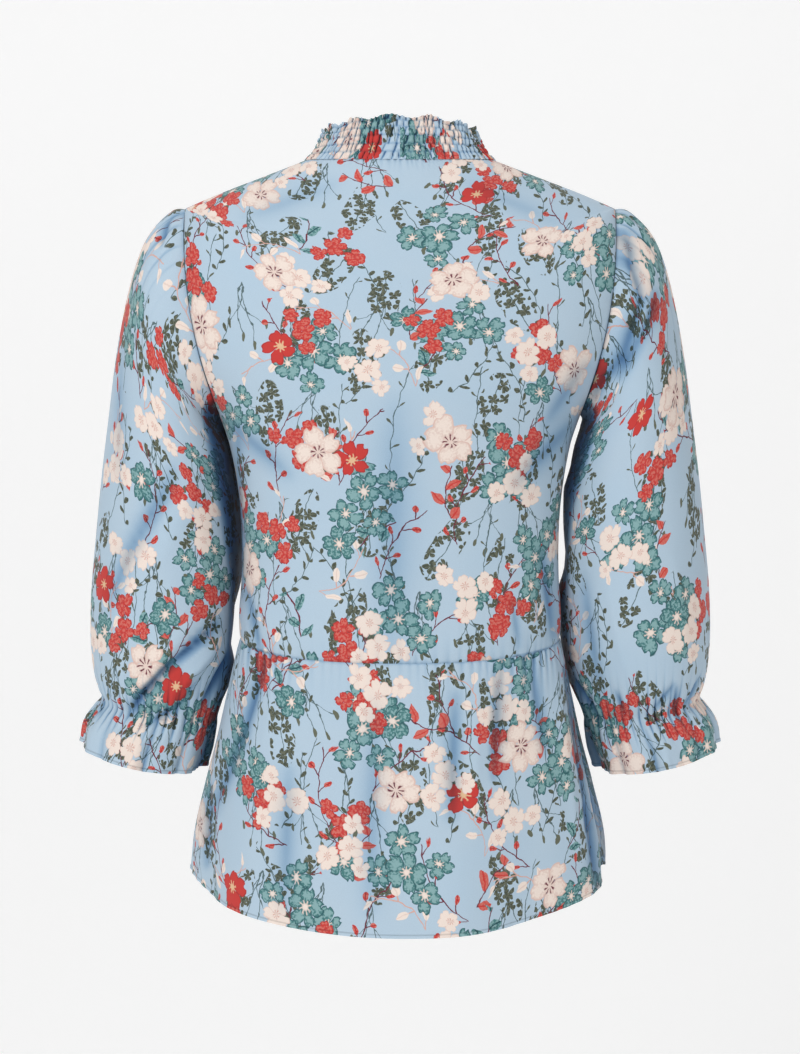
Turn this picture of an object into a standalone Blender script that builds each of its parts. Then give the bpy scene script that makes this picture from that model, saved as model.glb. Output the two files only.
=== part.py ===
"""A woven peplum blouse, filled out as if worn, built from the pieces that are cut and sewn.

Metres, +Z up, -Y towards the wearer's front, +X towards the wearer's left.
The origin is on the wearer's axis, level with the inner ends of the shoulder seams.
"""

import math
from collections import namedtuple

import bmesh
import bpy
from mathutils import Vector

# Driving dimensions
CLOTH = 0.0016  # thickness of a cloth wall
SEAM_GAP = 0.0004  # clear space between two pieces that are sewn together
SHOULDER_X, SHOULDER_Z = 0.178, -0.0365  # outer end of the shoulder seam
UNDERARM_X, UNDERARM_Z = 0.150, -0.206  # lowest point of the armhole
ARMHOLE_HALF_DEPTH = 0.058  # half of the armhole's reach from front to back
ARMHOLE_BOW = 2.3  # 1 makes the armhole flat, more curves its lower part in under the arm
SQUARENESS = 0.9  # 1 makes a ring an ellipse, less makes it boxier
HEM_STEP = 0.009  # how much lower the back hem is than the front one at the side seam

# Numbers of facets
BODICE_COLUMNS = 20
PEPLUM_COLUMNS = 36
ARMHOLE_STEPS = 2  # rows of facets for each row of the armhole's table
SLEEVE_COLUMNS = 40
NECK_GATHERS = 96
NECK_INNER_COLUMNS = 48
NECK_ROWS = 5
CUFF_GATHERS = 20
FRILL_FLUTES = 10
HEAD_GATHERS = 20  # pitch of the pleats, counted as if they went all round the armhole

# A row of the body: the two points where it ends at the side, its middles at the back and
# front, how far round the quarter turn it goes, and how the height runs between
Row = namedtuple(
    "Row", "side_x side_y side_z back_y back_z front_y front_z turn roundness"
)

# Closed rings of the bodice, from the waist seam up to below the underarm
BODICE_RINGS = [
    Row(0.1325, 0, -0.391, 0.086, -0.411, -0.098, -0.393, 90, 1),
    Row(0.1335, 0, -0.372, 0.088, -0.391, -0.101, -0.374, 90, 1),
    Row(0.1315, 0, -0.336, 0.084, -0.350, -0.101, -0.339, 90, 1),
    Row(0.1320, 0, -0.296, 0.085, -0.309, -0.105, -0.302, 90, 1),
    Row(0.1355, 0, -0.262, 0.089, -0.276, -0.112, -0.270, 90, 1),
    Row(0.1415, 0, -0.231, 0.094, -0.245, -0.118, -0.241, 90, 1),
]

# Rows that end on the armhole: the angle up from the underarm, then the middles
ArmholeRow = namedtuple("ArmholeRow", "angle back_y back_z front_y front_z turn roundness")
ARMHOLE_ROWS = [
    ArmholeRow(180, 0.099, -0.215, -0.121, -0.211, 90, 1.0),
    ArmholeRow(150, 0.102, -0.190, -0.119, -0.184, 78, 1.1),
    ArmholeRow(120, 0.103, -0.163, -0.113, -0.154, 68, 1.2),
    ArmholeRow(90, 0.103, -0.135, -0.105, -0.125, 64, 1.4),
    ArmholeRow(60, 0.100, -0.109, -0.096, -0.101, 70, 1.6),
    ArmholeRow(30, 0.093, -0.086, -0.087, -0.084, 80, 1.8),
    ArmholeRow(0, 0.085, -0.066, -0.079, -0.073, 90, 2.0),
]

# Rows that end on the shoulder seam, out to in; the last is the neckline
SHOULDER_ROWS = [
    Row(0.1480, 0, -0.0235, 0.075, -0.046, -0.071, -0.064, 90, 2),
    Row(0.1130, 0, -0.0100, 0.065, -0.025, -0.065, -0.057, 90, 2),
    Row(0.0790, 0, 0.0030, 0.055, 0.000, -0.060, -0.050, 90, 2),
]

# Closed rings of the peplum, from the waist seam down to the hem
PEPLUM_RINGS = [
    Row(0.1325, 0, -0.391, 0.086, -0.411, -0.098, -0.393, 90, 1),
    Row(0.1375, 0, -0.411, 0.092, -0.435, -0.103, -0.413, 90, 1),
    Row(0.1440, 0, -0.441, 0.102, -0.472, -0.109, -0.446, 90, 1),
    Row(0.1515, 0, -0.476, 0.112, -0.512, -0.115, -0.484, 90, 1.1),
    Row(0.1610, 0, -0.514, 0.122, -0.554, -0.121, -0.524, 90, 1.2),
    Row(0.1685, 0, -0.550, 0.131, -0.593, -0.127, -0.562, 90, 1.35),
    Row(0.1710, 0, -0.581, 0.137, -0.629, -0.131, -0.598, 90, 1.5),
]

# Soft flutes of the peplum: the angle from the middle of the back, towards the wearer's left
# if positive, how far round each spreads, and how far out it stands at the hem
Fold = namedtuple("Fold", "angle spread depth")
PEPLUM_FOLDS = [
    Fold(-152, 12, 0.005),
    Fold(-128, 10, -0.005),
    Fold(-104, 9, 0.006),
    Fold(-87, 8, -0.007),
    Fold(-62, 11, 0.004),
    Fold(-36, 10, -0.004),
    Fold(-13, 9, 0.004),
    Fold(14, 12, -0.003),
    Fold(42, 11, 0.004),
    Fold(66, 9, -0.004),
    Fold(92, 12, 0.002),
    Fold(118, 10, -0.004),
    Fold(146, 12, 0.005),
    Fold(174, 10, -0.003),
]

# The neck band at the side, back and front, from the neckline seam up to the edge
NeckRing = namedtuple("NeckRing", "side_x side_z back_y back_z front_y front_z relief")
NECK_RINGS = [
    NeckRing(0.0790, 0.0030, 0.0550, 0.0000, -0.0600, -0.0500, 0.0006),
    NeckRing(0.0732, 0.0085, 0.0530, 0.0075, -0.0605, -0.0425, 0.0013),
    NeckRing(0.0692, 0.0140, 0.0515, 0.0150, -0.0610, -0.0345, 0.0013),
    NeckRing(0.0672, 0.0190, 0.0505, 0.0230, -0.0618, -0.0265, 0.0013),
    NeckRing(0.0650, 0.0230, 0.0500, 0.0300, -0.0625, -0.0195, 0.0012),
    NeckRing(0.0628, 0.0270, 0.0512, 0.0360, -0.0640, -0.0135, 0.0020),
]
NECK_WALL = 0.001  # thickness of the band behind the valleys between its gathers
NECK_EDGE_WAVE = 0.0012  # how much the free edge rises and falls
NECK_EDGE_WAVES = 9

# A ring of the sleeve: its outer and inner points, its half depth, the middle of that depth,
# how much lower its back is, how much of the armhole's bow it keeps, the relief of its head
# pleats, cuff gathers and frill flutes, and how much of the arm's own forward swing it takes
SleeveRing = namedtuple(
    "SleeveRing",
    "outer_x outer_z inner_x inner_z half_depth middle_y dip bow head gather flute swing",
)
SLEEVE_RINGS = [
    SleeveRing(
        SHOULDER_X, SHOULDER_Z, UNDERARM_X, UNDERARM_Z, ARMHOLE_HALF_DEPTH, 0, 0, 1, 0, 0, 0, 0
    ),
    SleeveRing(0.187, -0.0385, 0.1530, -0.2095, 0.0600, -0.001, 0, 1.0, 0.0020, 0, 0, 0),
    SleeveRing(0.198, -0.0475, 0.1540, -0.2130, 0.0615, -0.002, 0, 0.9, 0.0022, 0, 0, 0.02),
    SleeveRing(0.208, -0.0590, 0.1535, -0.2170, 0.0625, -0.003, 0, 0.8, 0.0018, 0, 0, 0.05),
    SleeveRing(0.216, -0.0750, 0.1520, -0.2220, 0.0630, -0.004, 0, 0.7, 0.0013, 0, 0, 0.10),
    SleeveRing(0.223, -0.0960, 0.1490, -0.2290, 0.0630, -0.005, 0, 0.55, 0.0008, 0, 0, 0.20),
    SleeveRing(0.230, -0.1250, 0.1455, -0.2390, 0.0630, -0.007, 0, 0.4, 0.0004, 0, 0, 0.35),
    SleeveRing(0.237, -0.1630, 0.1420, -0.2540, 0.0630, -0.009, 0.001, 0.25, 0, 0, 0, 0.60),
    SleeveRing(0.243, -0.2090, 0.1385, -0.2740, 0.0630, -0.012, 0.002, 0.1, 0, 0, 0, 0.85),
    SleeveRing(0.249, -0.2570, 0.1355, -0.3010, 0.0635, -0.015, 0.003, 0, 0, 0, 0, 1.00),
    SleeveRing(0.254, -0.3070, 0.1345, -0.3330, 0.0640, -0.018, 0.005, 0, 0, 0, 0, 1.00),
    SleeveRing(0.258, -0.3510, 0.1345, -0.3660, 0.0650, -0.021, 0.006, 0, 0, 0, 0, 0.95),
    SleeveRing(0.259, -0.3890, 0.1370, -0.3970, 0.0650, -0.024, 0.007, 0, 0, 0.0003, 0, 0.85),
    SleeveRing(0.257, -0.4150, 0.1420, -0.4230, 0.0610, -0.026, 0.008, 0, 0, 0.0010, 0, 0.75),
    SleeveRing(0.253, -0.4315, 0.1480, -0.4430, 0.0540, -0.028, 0.009, 0, 0, 0.0018, 0, 0.65),
    SleeveRing(0.249, -0.4420, 0.1535, -0.4570, 0.0470, -0.029, 0.009, 0, 0, 0.0020, 0, 0.60),
    SleeveRing(
        0.255, -0.4500, 0.1545, -0.4665, 0.0490, -0.030, 0.011, 0, 0, 0.0014, 0.0012, 0.60
    ),
    SleeveRing(
        0.263, -0.4635, 0.1580, -0.4820, 0.0520, -0.031, 0.012, 0, 0, 0.0005, 0.0032, 0.60
    ),
    SleeveRing(0.265, -0.4800, 0.1640, -0.4980, 0.0550, -0.032, 0.013, 0, 0, 0, 0.0045, 0.60),
]

# Each arm's side, and how far forward of the other it hangs
Arm = namedtuple("Arm", "side forward")
ARMS = {
    "sleeve_left": Arm(1, 0.008),
    "sleeve_right": Arm(-1, 0.0),
}

UP = Vector((0, 0, 1))
BACKWARDS = Vector((0, 1, 0))

COLOURS = {
    "sky_print": (0.43, 0.56, 0.68, 1.0),
    "sky_print_smocked": (0.38, 0.50, 0.60, 1.0),
}


def bowed(up):
    """How far out the armhole's curve is for its share of the way up."""
    return 1 - (1 - up) ** ARMHOLE_BOW


def armhole_point(angle):
    """A point of the armhole: 0 at the shoulder, 180 at the underarm."""
    up = (1 + math.cos(math.radians(angle))) / 2
    return (
        UNDERARM_X + (SHOULDER_X - UNDERARM_X) * bowed(up),
        ARMHOLE_HALF_DEPTH * math.sin(math.radians(angle)),
        UNDERARM_Z + (SHOULDER_Z - UNDERARM_Z) * up,
    )


def armhole_outward(angle, side):
    """The direction square to the armhole's surface at an angle, out of the body."""
    up = (1 + math.cos(math.radians(angle))) / 2
    steepness = ARMHOLE_BOW * (1 - up) ** (ARMHOLE_BOW - 1)
    run = (SHOULDER_X - UNDERARM_X) * steepness
    rise = SHOULDER_Z - UNDERARM_Z
    return Vector((side * rise, 0, -run)).normalized()


def finer(table, steps):
    """The table with each gap between its rows split into steps along a smooth curve."""
    rows = []
    for i, (low, high) in enumerate(zip(table, table[1:])):
        before = table[max(i - 1, 0)]
        after = table[min(i + 2, len(table) - 1)]
        for step in range(steps):
            part = step / steps
            values = (
                b
                + part * (c - a) / 2
                + part**2 * (a - 2.5 * b + 2 * c - d / 2)
                + part**3 * (1.5 * b - 1.5 * c + (d - a) / 2)
                for a, b, c, d in zip(before, low, high, after)
            )
            rows.append(type(low)(*values))
    return rows + [table[-1]]


def bodice_rows():
    """The rows of both bodice panels, from the waist seam to the neckline."""
    on_armhole = [
        Row(*armhole_point(row.angle), *row[1:]) for row in finer(ARMHOLE_ROWS, ARMHOLE_STEPS)
    ]
    return BODICE_RINGS + on_armhole + SHOULDER_ROWS


def row_point(row, facing, share):
    """A point of a row: facing is 1 at the back and -1 at the front, share -1 to 1 across."""
    middle_y, middle_z = (
        (row.back_y, row.back_z) if facing > 0 else (row.front_y, row.front_z)
    )
    turn = math.radians(row.turn)
    angle = abs(share) * turn
    across = (math.sin(angle) / math.sin(turn)) ** SQUARENESS
    inward = max(0.0, (math.cos(angle) - math.cos(turn)) / (1 - math.cos(turn)))
    inward = inward**SQUARENESS
    side_y = facing * row.side_y
    return Vector(
        (
            math.copysign(row.side_x * across, share),
            side_y + (middle_y - side_y) * inward,
            row.side_z + (middle_z - row.side_z) * inward**row.roundness,
        )
    )


def fold_relief(angle):
    """How far the peplum's hem stands out of its plain ring at an angle from the back."""
    total = 0.0
    for fold in PEPLUM_FOLDS:
        away = (angle - fold.angle + 180) % 360 - 180
        total += fold.depth * math.exp(-((away / fold.spread) ** 2))
    return total


def peplum_point(step, facing, share):
    """A point of the peplum, whose flutes grow from nothing at the waist to the hem."""
    point = row_point(PEPLUM_RINGS[step], facing, share)
    down = step / (len(PEPLUM_RINGS) - 1)
    if facing > 0:
        angle = 90 * share
        point.z -= HEM_STEP * down**3 * abs(share) ** 6
    else:
        angle = math.copysign(180 - 90 * abs(share), share)
    outward = Vector((point.x, point.y, 0)).normalized()
    return point + outward * fold_relief(angle) * down**1.5


def neck_point(place, angle, relief_share, inset):
    """A point of the neck band: place counts rings from the seam, angle runs from the back.

    relief_share is 1 on a gather and -1 in a valley, and inset is how far in from there.
    """
    lower = NECK_RINGS[min(int(place), len(NECK_RINGS) - 2)]
    upper = NECK_RINGS[min(int(place), len(NECK_RINGS) - 2) + 1]
    part = place - min(int(place), len(NECK_RINGS) - 2)
    ring = NeckRing(*(a + (b - a) * part for a, b in zip(lower, upper)))
    turn = math.radians(angle)
    row = Row(ring.side_x, 0, *ring[1:6], 90, 2)
    facing = 1 if math.cos(turn) > 0 else -1
    from_middle = math.degrees(math.asin(abs(math.sin(turn)))) / 90
    point = row_point(row, facing, math.copysign(from_middle, math.sin(turn)))
    outward = Vector((math.sin(turn), math.cos(turn), 0))
    point += outward * (ring.relief * relief_share - inset)
    top = place / (len(NECK_RINGS) - 1)
    point.z += NECK_EDGE_WAVE * top**4 * math.sin(NECK_EDGE_WAVES * turn)
    return point


def sleeve_point(arm, step, angle):
    """A point of a sleeve: angle 0 is the outer line, 90 the back, 180 the underarm."""
    ring = SLEEVE_RINGS[step]
    turn = math.radians(angle)
    up = (1 + math.cos(turn)) / 2
    out = up + ring.bow * (bowed(up) - up)
    point = Vector(
        (
            ring.inner_x + (ring.outer_x - ring.inner_x) * out,
            ring.middle_y + ring.half_depth * math.sin(turn) - arm.forward * ring.swing,
            ring.inner_z + (ring.outer_z - ring.inner_z) * up - ring.dip * math.sin(turn),
        )
    )
    relief = (
        ring.head * max(0.0, math.cos(turn)) ** 2 * math.cos(HEAD_GATHERS * turn)
        + ring.gather * math.cos(CUFF_GATHERS * turn)
        + ring.flute * math.cos(FRILL_FLUTES * turn)
    )
    reach = Vector(
        (
            (ring.outer_x - ring.inner_x) / 2 * math.cos(turn),
            ring.half_depth * math.sin(turn),
            (ring.outer_z - ring.inner_z) / 2 * math.cos(turn),
        )
    )
    point += reach.normalized() * relief
    point.x *= arm.side
    return point


def parted(points, first_row, last_row, end_columns):
    """The same grid with its free edges drawn back from their seams by the gaps given."""

    def drawn(end, neighbour, gap):
        return end + (neighbour - end).normalized() * gap

    moved = [list(row) for row in points]
    for column in range(len(points[0])):
        moved[0][column] = drawn(points[0][column], points[1][column], first_row)
        moved[-1][column] = drawn(points[-1][column], points[-2][column], last_row)
    for row in moved:
        row[0] = drawn(row[0], row[1], end_columns)
        row[-1] = drawn(row[-1], row[-2], end_columns)
    return moved


def inner_points(points, closed, facing_out, own_sides):
    """The wall's inner side: each point moved in by the cloth's thickness.

    own_sides(row, column) lists directions from a seam towards the piece's own side. On a
    seam the wall's thickness doesn't lean over to the other side.
    """
    rows, columns = len(points), len(points[0])
    inner = []
    for row in range(rows):
        line = []
        for column in range(columns):
            if closed:
                before, after = (column - 1) % columns, (column + 1) % columns
            else:
                before, after = max(column - 1, 0), min(column + 1, columns - 1)
            along = points[row][after] - points[row][before]
            up = points[min(row + 1, rows - 1)][column] - points[max(row - 1, 0)][column]
            inward = along.cross(up).normalized() * -facing_out
            for own_side in own_sides(row, column):
                inward -= own_side * min(0.0, inward.dot(own_side))
            line.append(points[row][column] + inward.normalized() * CLOTH)
        inner.append(line)
    return inner


def cloth_piece(name, outer, inner, closed, material):
    """A cloth wall between two grids of points, closed by a rim along each free edge."""
    shape = bmesh.new()
    sides = [[[shape.verts.new(p) for p in row] for row in grid] for grid in (outer, inner)]
    rows, columns = len(outer), len(outer[0])
    for side in sides:
        for row in range(rows - 1):
            for column in range(columns if closed else columns - 1):
                after = (column + 1) % columns
                low, high = side[row], side[row + 1]
                shape.faces.new((low[column], low[after], high[after], high[column]))
    around = [(0, column) for column in range(columns)]
    over = [(rows - 1, column) for column in range(columns)]
    if closed:
        rims = [around + around[:1], over + over[:1]]
    else:
        right = [(row, columns - 1) for row in range(rows)]
        left = [(row, 0) for row in range(rows)]
        rims = [around, right, over, left]
    for rim in rims:
        for (row, column), (next_row, next_column) in zip(rim, rim[1:]):
            shape.faces.new(
                (
                    sides[0][row][column],
                    sides[0][next_row][next_column],
                    sides[1][next_row][next_column],
                    sides[1][row][column],
                )
            )
    bmesh.ops.recalc_face_normals(shape, faces=shape.faces[:])
    mesh = bpy.data.meshes.new(name)
    shape.to_mesh(mesh)
    shape.free()
    mesh.materials.append(material)
    piece = bpy.data.objects.new(name, mesh)
    garment.objects.link(piece)
    return piece


def make_bodice(name, facing, material):
    """One bodice panel, from side seam to side seam and from waist seam to neckline."""
    rows = bodice_rows()
    shares = [2 * i / BODICE_COLUMNS - 1 for i in range(BODICE_COLUMNS + 1)]
    points = [[row_point(row, facing, share) for share in shares] for row in rows]
    points = parted(points, SEAM_GAP / 2, SEAM_GAP / 2, SEAM_GAP / 2)
    first = len(BODICE_RINGS)
    last = len(rows) - 1 - len(SHOULDER_ROWS)

    def own_sides(row, column):
        found = []
        if row == 0:
            found.append(UP)
        if row == len(rows) - 1:
            found.append(-UP)
        if column in (0, BODICE_COLUMNS):
            if first <= row <= last:
                angle = 180 - 180 * (row - first) / (last - first)
                found.append(-armhole_outward(angle, 1 if column else -1))
            if row <= first or row >= last:
                found.append(BACKWARDS * facing)
        return found

    inner = inner_points(points, False, -facing, own_sides)
    return cloth_piece(name, points, inner, False, material)


def make_peplum(name, facing, material):
    """One peplum panel, from side seam to side seam and from waist seam to hem."""
    shares = [2 * i / PEPLUM_COLUMNS - 1 for i in range(PEPLUM_COLUMNS + 1)]
    points = [
        [peplum_point(step, facing, share) for share in shares]
        for step in range(len(PEPLUM_RINGS))
    ]
    points = parted(points, SEAM_GAP / 2, 0, SEAM_GAP / 2)

    def own_sides(row, column):
        at_side = [BACKWARDS * facing] if column in (0, PEPLUM_COLUMNS) else []
        return at_side + ([-UP] if row == 0 else [])

    inner = inner_points(points, False, facing, own_sides)
    return cloth_piece(name, points, inner, False, material)


def make_sleeve(name, arm, material):
    """A sleeve with its frill, from the armhole seam to the frill's free edge."""
    turns = [360 * i / SLEEVE_COLUMNS for i in range(SLEEVE_COLUMNS)]
    points = [
        [sleeve_point(arm, step, angle) for angle in turns]
        for step in range(len(SLEEVE_RINGS))
    ]
    across = [armhole_outward(angle, arm.side) for angle in turns]
    points[0] = [point + out * SEAM_GAP for point, out in zip(points[0], across)]

    def own_sides(row, column):
        return [across[column]] if row == 0 else []

    inner = inner_points(points, True, arm.side, own_sides)
    return cloth_piece(name, points, inner, True, material)


def make_neck_band(name, material):
    """The smocked stand band: gathers raised on its outside over a plain inside."""
    shape = bmesh.new()

    def tube(columns, reliefs, inset):
        rings = []
        for row in range(NECK_ROWS + 1):
            place = row / NECK_ROWS * (len(NECK_RINGS) - 1)
            ring = []
            for column in range(columns):
                relief = reliefs[column % len(reliefs)]
                point = neck_point(place, 360 * column / columns, relief, inset)
                ring.append(shape.verts.new(point + UP * SEAM_GAP))
            rings.append(ring)
        for low, high in zip(rings, rings[1:]):
            for column in range(columns):
                after = (column + 1) % columns
                shape.faces.new((low[column], low[after], high[after], high[column]))
        return rings[0], rings[-1]

    outer_edges = tube(2 * NECK_GATHERS, (-1, 1), 0)
    inner_edges = tube(NECK_INNER_COLUMNS, (-1,), NECK_WALL)
    each = 2 * NECK_GATHERS // NECK_INNER_COLUMNS
    for outer, inner in zip(outer_edges, inner_edges):
        for column in range(NECK_INNER_COLUMNS):
            near, far = inner[column], inner[(column + 1) % NECK_INNER_COLUMNS]
            fan = [outer[(each * column + i) % len(outer)] for i in range(each + 1)]
            for i in range(each):
                shape.faces.new((near if i < each // 2 else far, fan[i], fan[i + 1]))
            shape.faces.new((near, fan[each // 2], far))
    bmesh.ops.recalc_face_normals(shape, faces=shape.faces[:])
    mesh = bpy.data.meshes.new(name)
    shape.to_mesh(mesh)
    shape.free()
    mesh.materials.append(material)
    band = bpy.data.objects.new(name, mesh)
    garment.objects.link(band)
    return band


def cloth_material(name):
    """A matt woven cloth in the print's ground colour."""
    material = bpy.data.materials.new(name)
    material.use_nodes = True
    shader = material.node_tree.nodes["Principled BSDF"]
    shader.inputs["Base Color"].default_value = COLOURS[name]
    shader.inputs["Roughness"].default_value = 0.8
    shader.inputs["Metallic"].default_value = 0.0
    return material


for old in list(bpy.data.objects):
    bpy.data.objects.remove(old)

garment = bpy.data.collections.new("peplum_blouse")
bpy.context.scene.collection.children.link(garment)

printed = cloth_material("sky_print")
smocked = cloth_material("sky_print_smocked")
make_bodice("bodice_back", 1, printed)
make_bodice("bodice_front", -1, printed)
make_peplum("peplum_back", 1, printed)
make_peplum("peplum_front", -1, printed)
for sleeve_name, arm_hang in ARMS.items():
    make_sleeve(sleeve_name, arm_hang, printed)
make_neck_band("neck_band", smocked)
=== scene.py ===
# %% [markdown]
# # A printed peplum blouse, seen from behind
#
# The real blouse is sewn from one light crepe with a scattered flower print. A pattern cutter
# would name seven pieces: a back and a front bodice, a back and a front peplum, two sleeves that
# end in a frill, and a strip for the smocked neck. Each piece is one sheet of cloth here too.
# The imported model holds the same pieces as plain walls, and every sheet is laid on its wall.

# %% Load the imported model
import math
from collections import namedtuple

import bpy
import numpy as np
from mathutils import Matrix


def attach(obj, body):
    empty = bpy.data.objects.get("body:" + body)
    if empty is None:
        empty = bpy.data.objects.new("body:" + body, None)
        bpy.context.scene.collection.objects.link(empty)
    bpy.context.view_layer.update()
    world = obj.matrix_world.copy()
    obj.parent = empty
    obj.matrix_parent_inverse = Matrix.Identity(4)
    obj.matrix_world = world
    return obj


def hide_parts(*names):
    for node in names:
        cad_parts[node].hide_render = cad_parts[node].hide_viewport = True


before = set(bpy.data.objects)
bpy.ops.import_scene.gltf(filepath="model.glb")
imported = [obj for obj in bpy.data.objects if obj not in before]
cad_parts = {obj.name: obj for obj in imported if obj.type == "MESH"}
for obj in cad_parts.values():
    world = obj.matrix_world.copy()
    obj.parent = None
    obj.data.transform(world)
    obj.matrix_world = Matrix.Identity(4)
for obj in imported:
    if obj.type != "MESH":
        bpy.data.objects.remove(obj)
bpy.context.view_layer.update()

print("nodes:", ", ".join(sorted(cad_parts)))

# %% [markdown]
# ## Camera, light and floor
#
# The photograph is taken from far behind the blouse at about half its height, so the view is
# nearly flat. One pixel of it stands for 0.83 mm at the side seams, which gives the height of
# the frame and, with the distance, the lens. A long distance with a long lens keeps the true
# proportions.

# %% Camera behind the blouse
PHOTO_WIDTH, PHOTO_HEIGHT = 800, 1054
METRES_PER_PIXEL = 0.00083
AXIS_PIXEL = (400, 165)  # where the origin lies in the photograph
CAMERA_DISTANCE = 3.5

camera_data = bpy.data.cameras.new("camera")
camera_data.sensor_fit = "VERTICAL"
camera_data.sensor_height = 24
frame_height = PHOTO_HEIGHT * METRES_PER_PIXEL
camera_data.lens = camera_data.sensor_height * CAMERA_DISTANCE / frame_height
camera = bpy.data.objects.new("camera", camera_data)
bpy.context.scene.collection.objects.link(camera)
camera.location = (
    (AXIS_PIXEL[0] - PHOTO_WIDTH / 2) * METRES_PER_PIXEL,
    CAMERA_DISTANCE,
    (AXIS_PIXEL[1] - PHOTO_HEIGHT / 2) * METRES_PER_PIXEL,
)
camera.rotation_euler = (math.pi / 2, 0, math.pi)
bpy.context.scene.camera = camera
print(f"lens {camera_data.lens:.0f} mm at {CAMERA_DISTANCE} m")

# %% [markdown]
# A product photograph has a large soft light near the camera and white walls all round. An area
# light on each side of the camera, one above the blouse and a white world do the same. The floor
# turns up into a wall behind the blouse with a wide bend, so that no line shows where they meet.
# Its paper glows a little, as a backdrop does that has lamps of its own.

# %% Soft lights
BLOUSE_MIDDLE = np.array([0, 0, -0.3])
bpy.context.scene.view_settings.view_transform = "Standard"


def set_inputs(node, values):
    """Set the inputs of a node, given by name."""
    for name, value in values.items():
        node.inputs[name].default_value = value


def add_soft_light(name, place, size, power):
    """A square area light that faces the middle of the blouse."""
    data = bpy.data.lights.new(name, "AREA")
    data.size = size
    data.energy = power
    light = bpy.data.objects.new(name, data)
    bpy.context.scene.collection.objects.link(light)
    light.location = place
    aim = BLOUSE_MIDDLE - np.array(place)
    tilt = math.acos(-aim[2] / np.linalg.norm(aim))
    light.rotation_euler = (tilt, 0, math.atan2(aim[1], aim[0]) - math.pi / 2)


add_soft_light("key_light", (1.5, 2.5, 1.2), 1.4, 50)
add_soft_light("fill_light", (-1.9, 2.0, 0.3), 2.0, 10)
add_soft_light("top_light", (0.0, 0.2, 2.4), 2.0, 16)

world = bpy.data.worlds.new("white_room")
bpy.context.scene.world = world
world.use_nodes = True
set_inputs(world.node_tree.nodes["Background"], {"Color": (1, 1, 1, 1), "Strength": 0.45})
print("lights:", [o.name for o in bpy.data.objects if o.type == "LIGHT"])

# %% Floor that bends up into a wall
FLOOR_SIZE, FLOOR_MIDDLE_Y, FLOOR_Z = 9, 1.5, -1.05
WALL_Y, WALL_HEIGHT = FLOOR_MIDDLE_Y - FLOOR_SIZE / 2, 6
BEND_RADIUS = 1.5
NEAR = 0.01

bpy.ops.object.select_all(action="DESELECT")
bpy.ops.mesh.primitive_plane_add(size=FLOOR_SIZE, location=(0, FLOOR_MIDDLE_Y, FLOOR_Z))
floor = bpy.context.object
floor.name = "floor"
bpy.ops.object.transform_apply(location=True, rotation=False, scale=False)


def edit_back_edge(operation, **settings):
    """Run an edit operation on the floor's back edge alone."""
    bpy.ops.object.mode_set(mode="EDIT")
    bpy.ops.mesh.select_all(action="DESELECT")
    bpy.ops.object.mode_set(mode="OBJECT")
    for edge in floor.data.edges:
        ends = [floor.data.vertices[i].co for i in edge.vertices]
        edge.select = all(end.y < WALL_Y + NEAR and end.z < FLOOR_Z + NEAR for end in ends)
    bpy.ops.object.mode_set(mode="EDIT")
    operation(**settings)
    bpy.ops.object.mode_set(mode="OBJECT")


edit_back_edge(
    bpy.ops.mesh.extrude_region_move, TRANSFORM_OT_translate={"value": (0, 0, WALL_HEIGHT)}
)
edit_back_edge(bpy.ops.mesh.bevel, offset=BEND_RADIUS, segments=16, affect="EDGES")
floor.data.shade_smooth()

paper = bpy.data.materials.new("pale_paper")
paper.use_nodes = True
set_inputs(paper.node_tree.nodes["Principled BSDF"], {
    "Base Color": (0.9, 0.9, 0.9, 1),
    "Roughness": 0.9,
    "Emission Color": (1, 1, 1, 1),
    "Emission Strength": 0.2,
})
floor.data.materials.append(paper)
print("floor bends up behind the blouse at y", WALL_Y)

# %% [markdown]
# ## Short calls for nodes
#
# The cloth's finish is made of many small sums. With a helper that adds one node and gives back
# its output, and with outputs that stand in ordinary sums, each effect reads like a formula. An
# effect that more than one material uses is a node group with named sockets.


# %% Outputs that stand in sums
class Term:
    """An output of a node. Each sum that it stands in adds one Math node."""

    def __init__(self, net, socket):
        self.net, self.socket = net, socket

    def __add__(self, other):
        return self.net.maths("ADD", self, other)

    def __sub__(self, other):
        return self.net.maths("SUBTRACT", self, other)

    def __rsub__(self, other):
        return self.net.maths("SUBTRACT", other, self)

    def __mul__(self, other):
        return self.net.maths("MULTIPLY", self, other)

    def __truediv__(self, other):
        return self.net.maths("DIVIDE", self, other)

    def __abs__(self):
        return self.net.maths("ABSOLUTE", self)


class Outputs:
    """A node's outputs, by name or number, each as a term."""

    def __init__(self, net, node):
        self.net, self.node = net, node

    def __getitem__(self, key):
        return Term(self.net, self.node.outputs[key])


print("an output can stand in sums, products, shares and absolute values")


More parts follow.
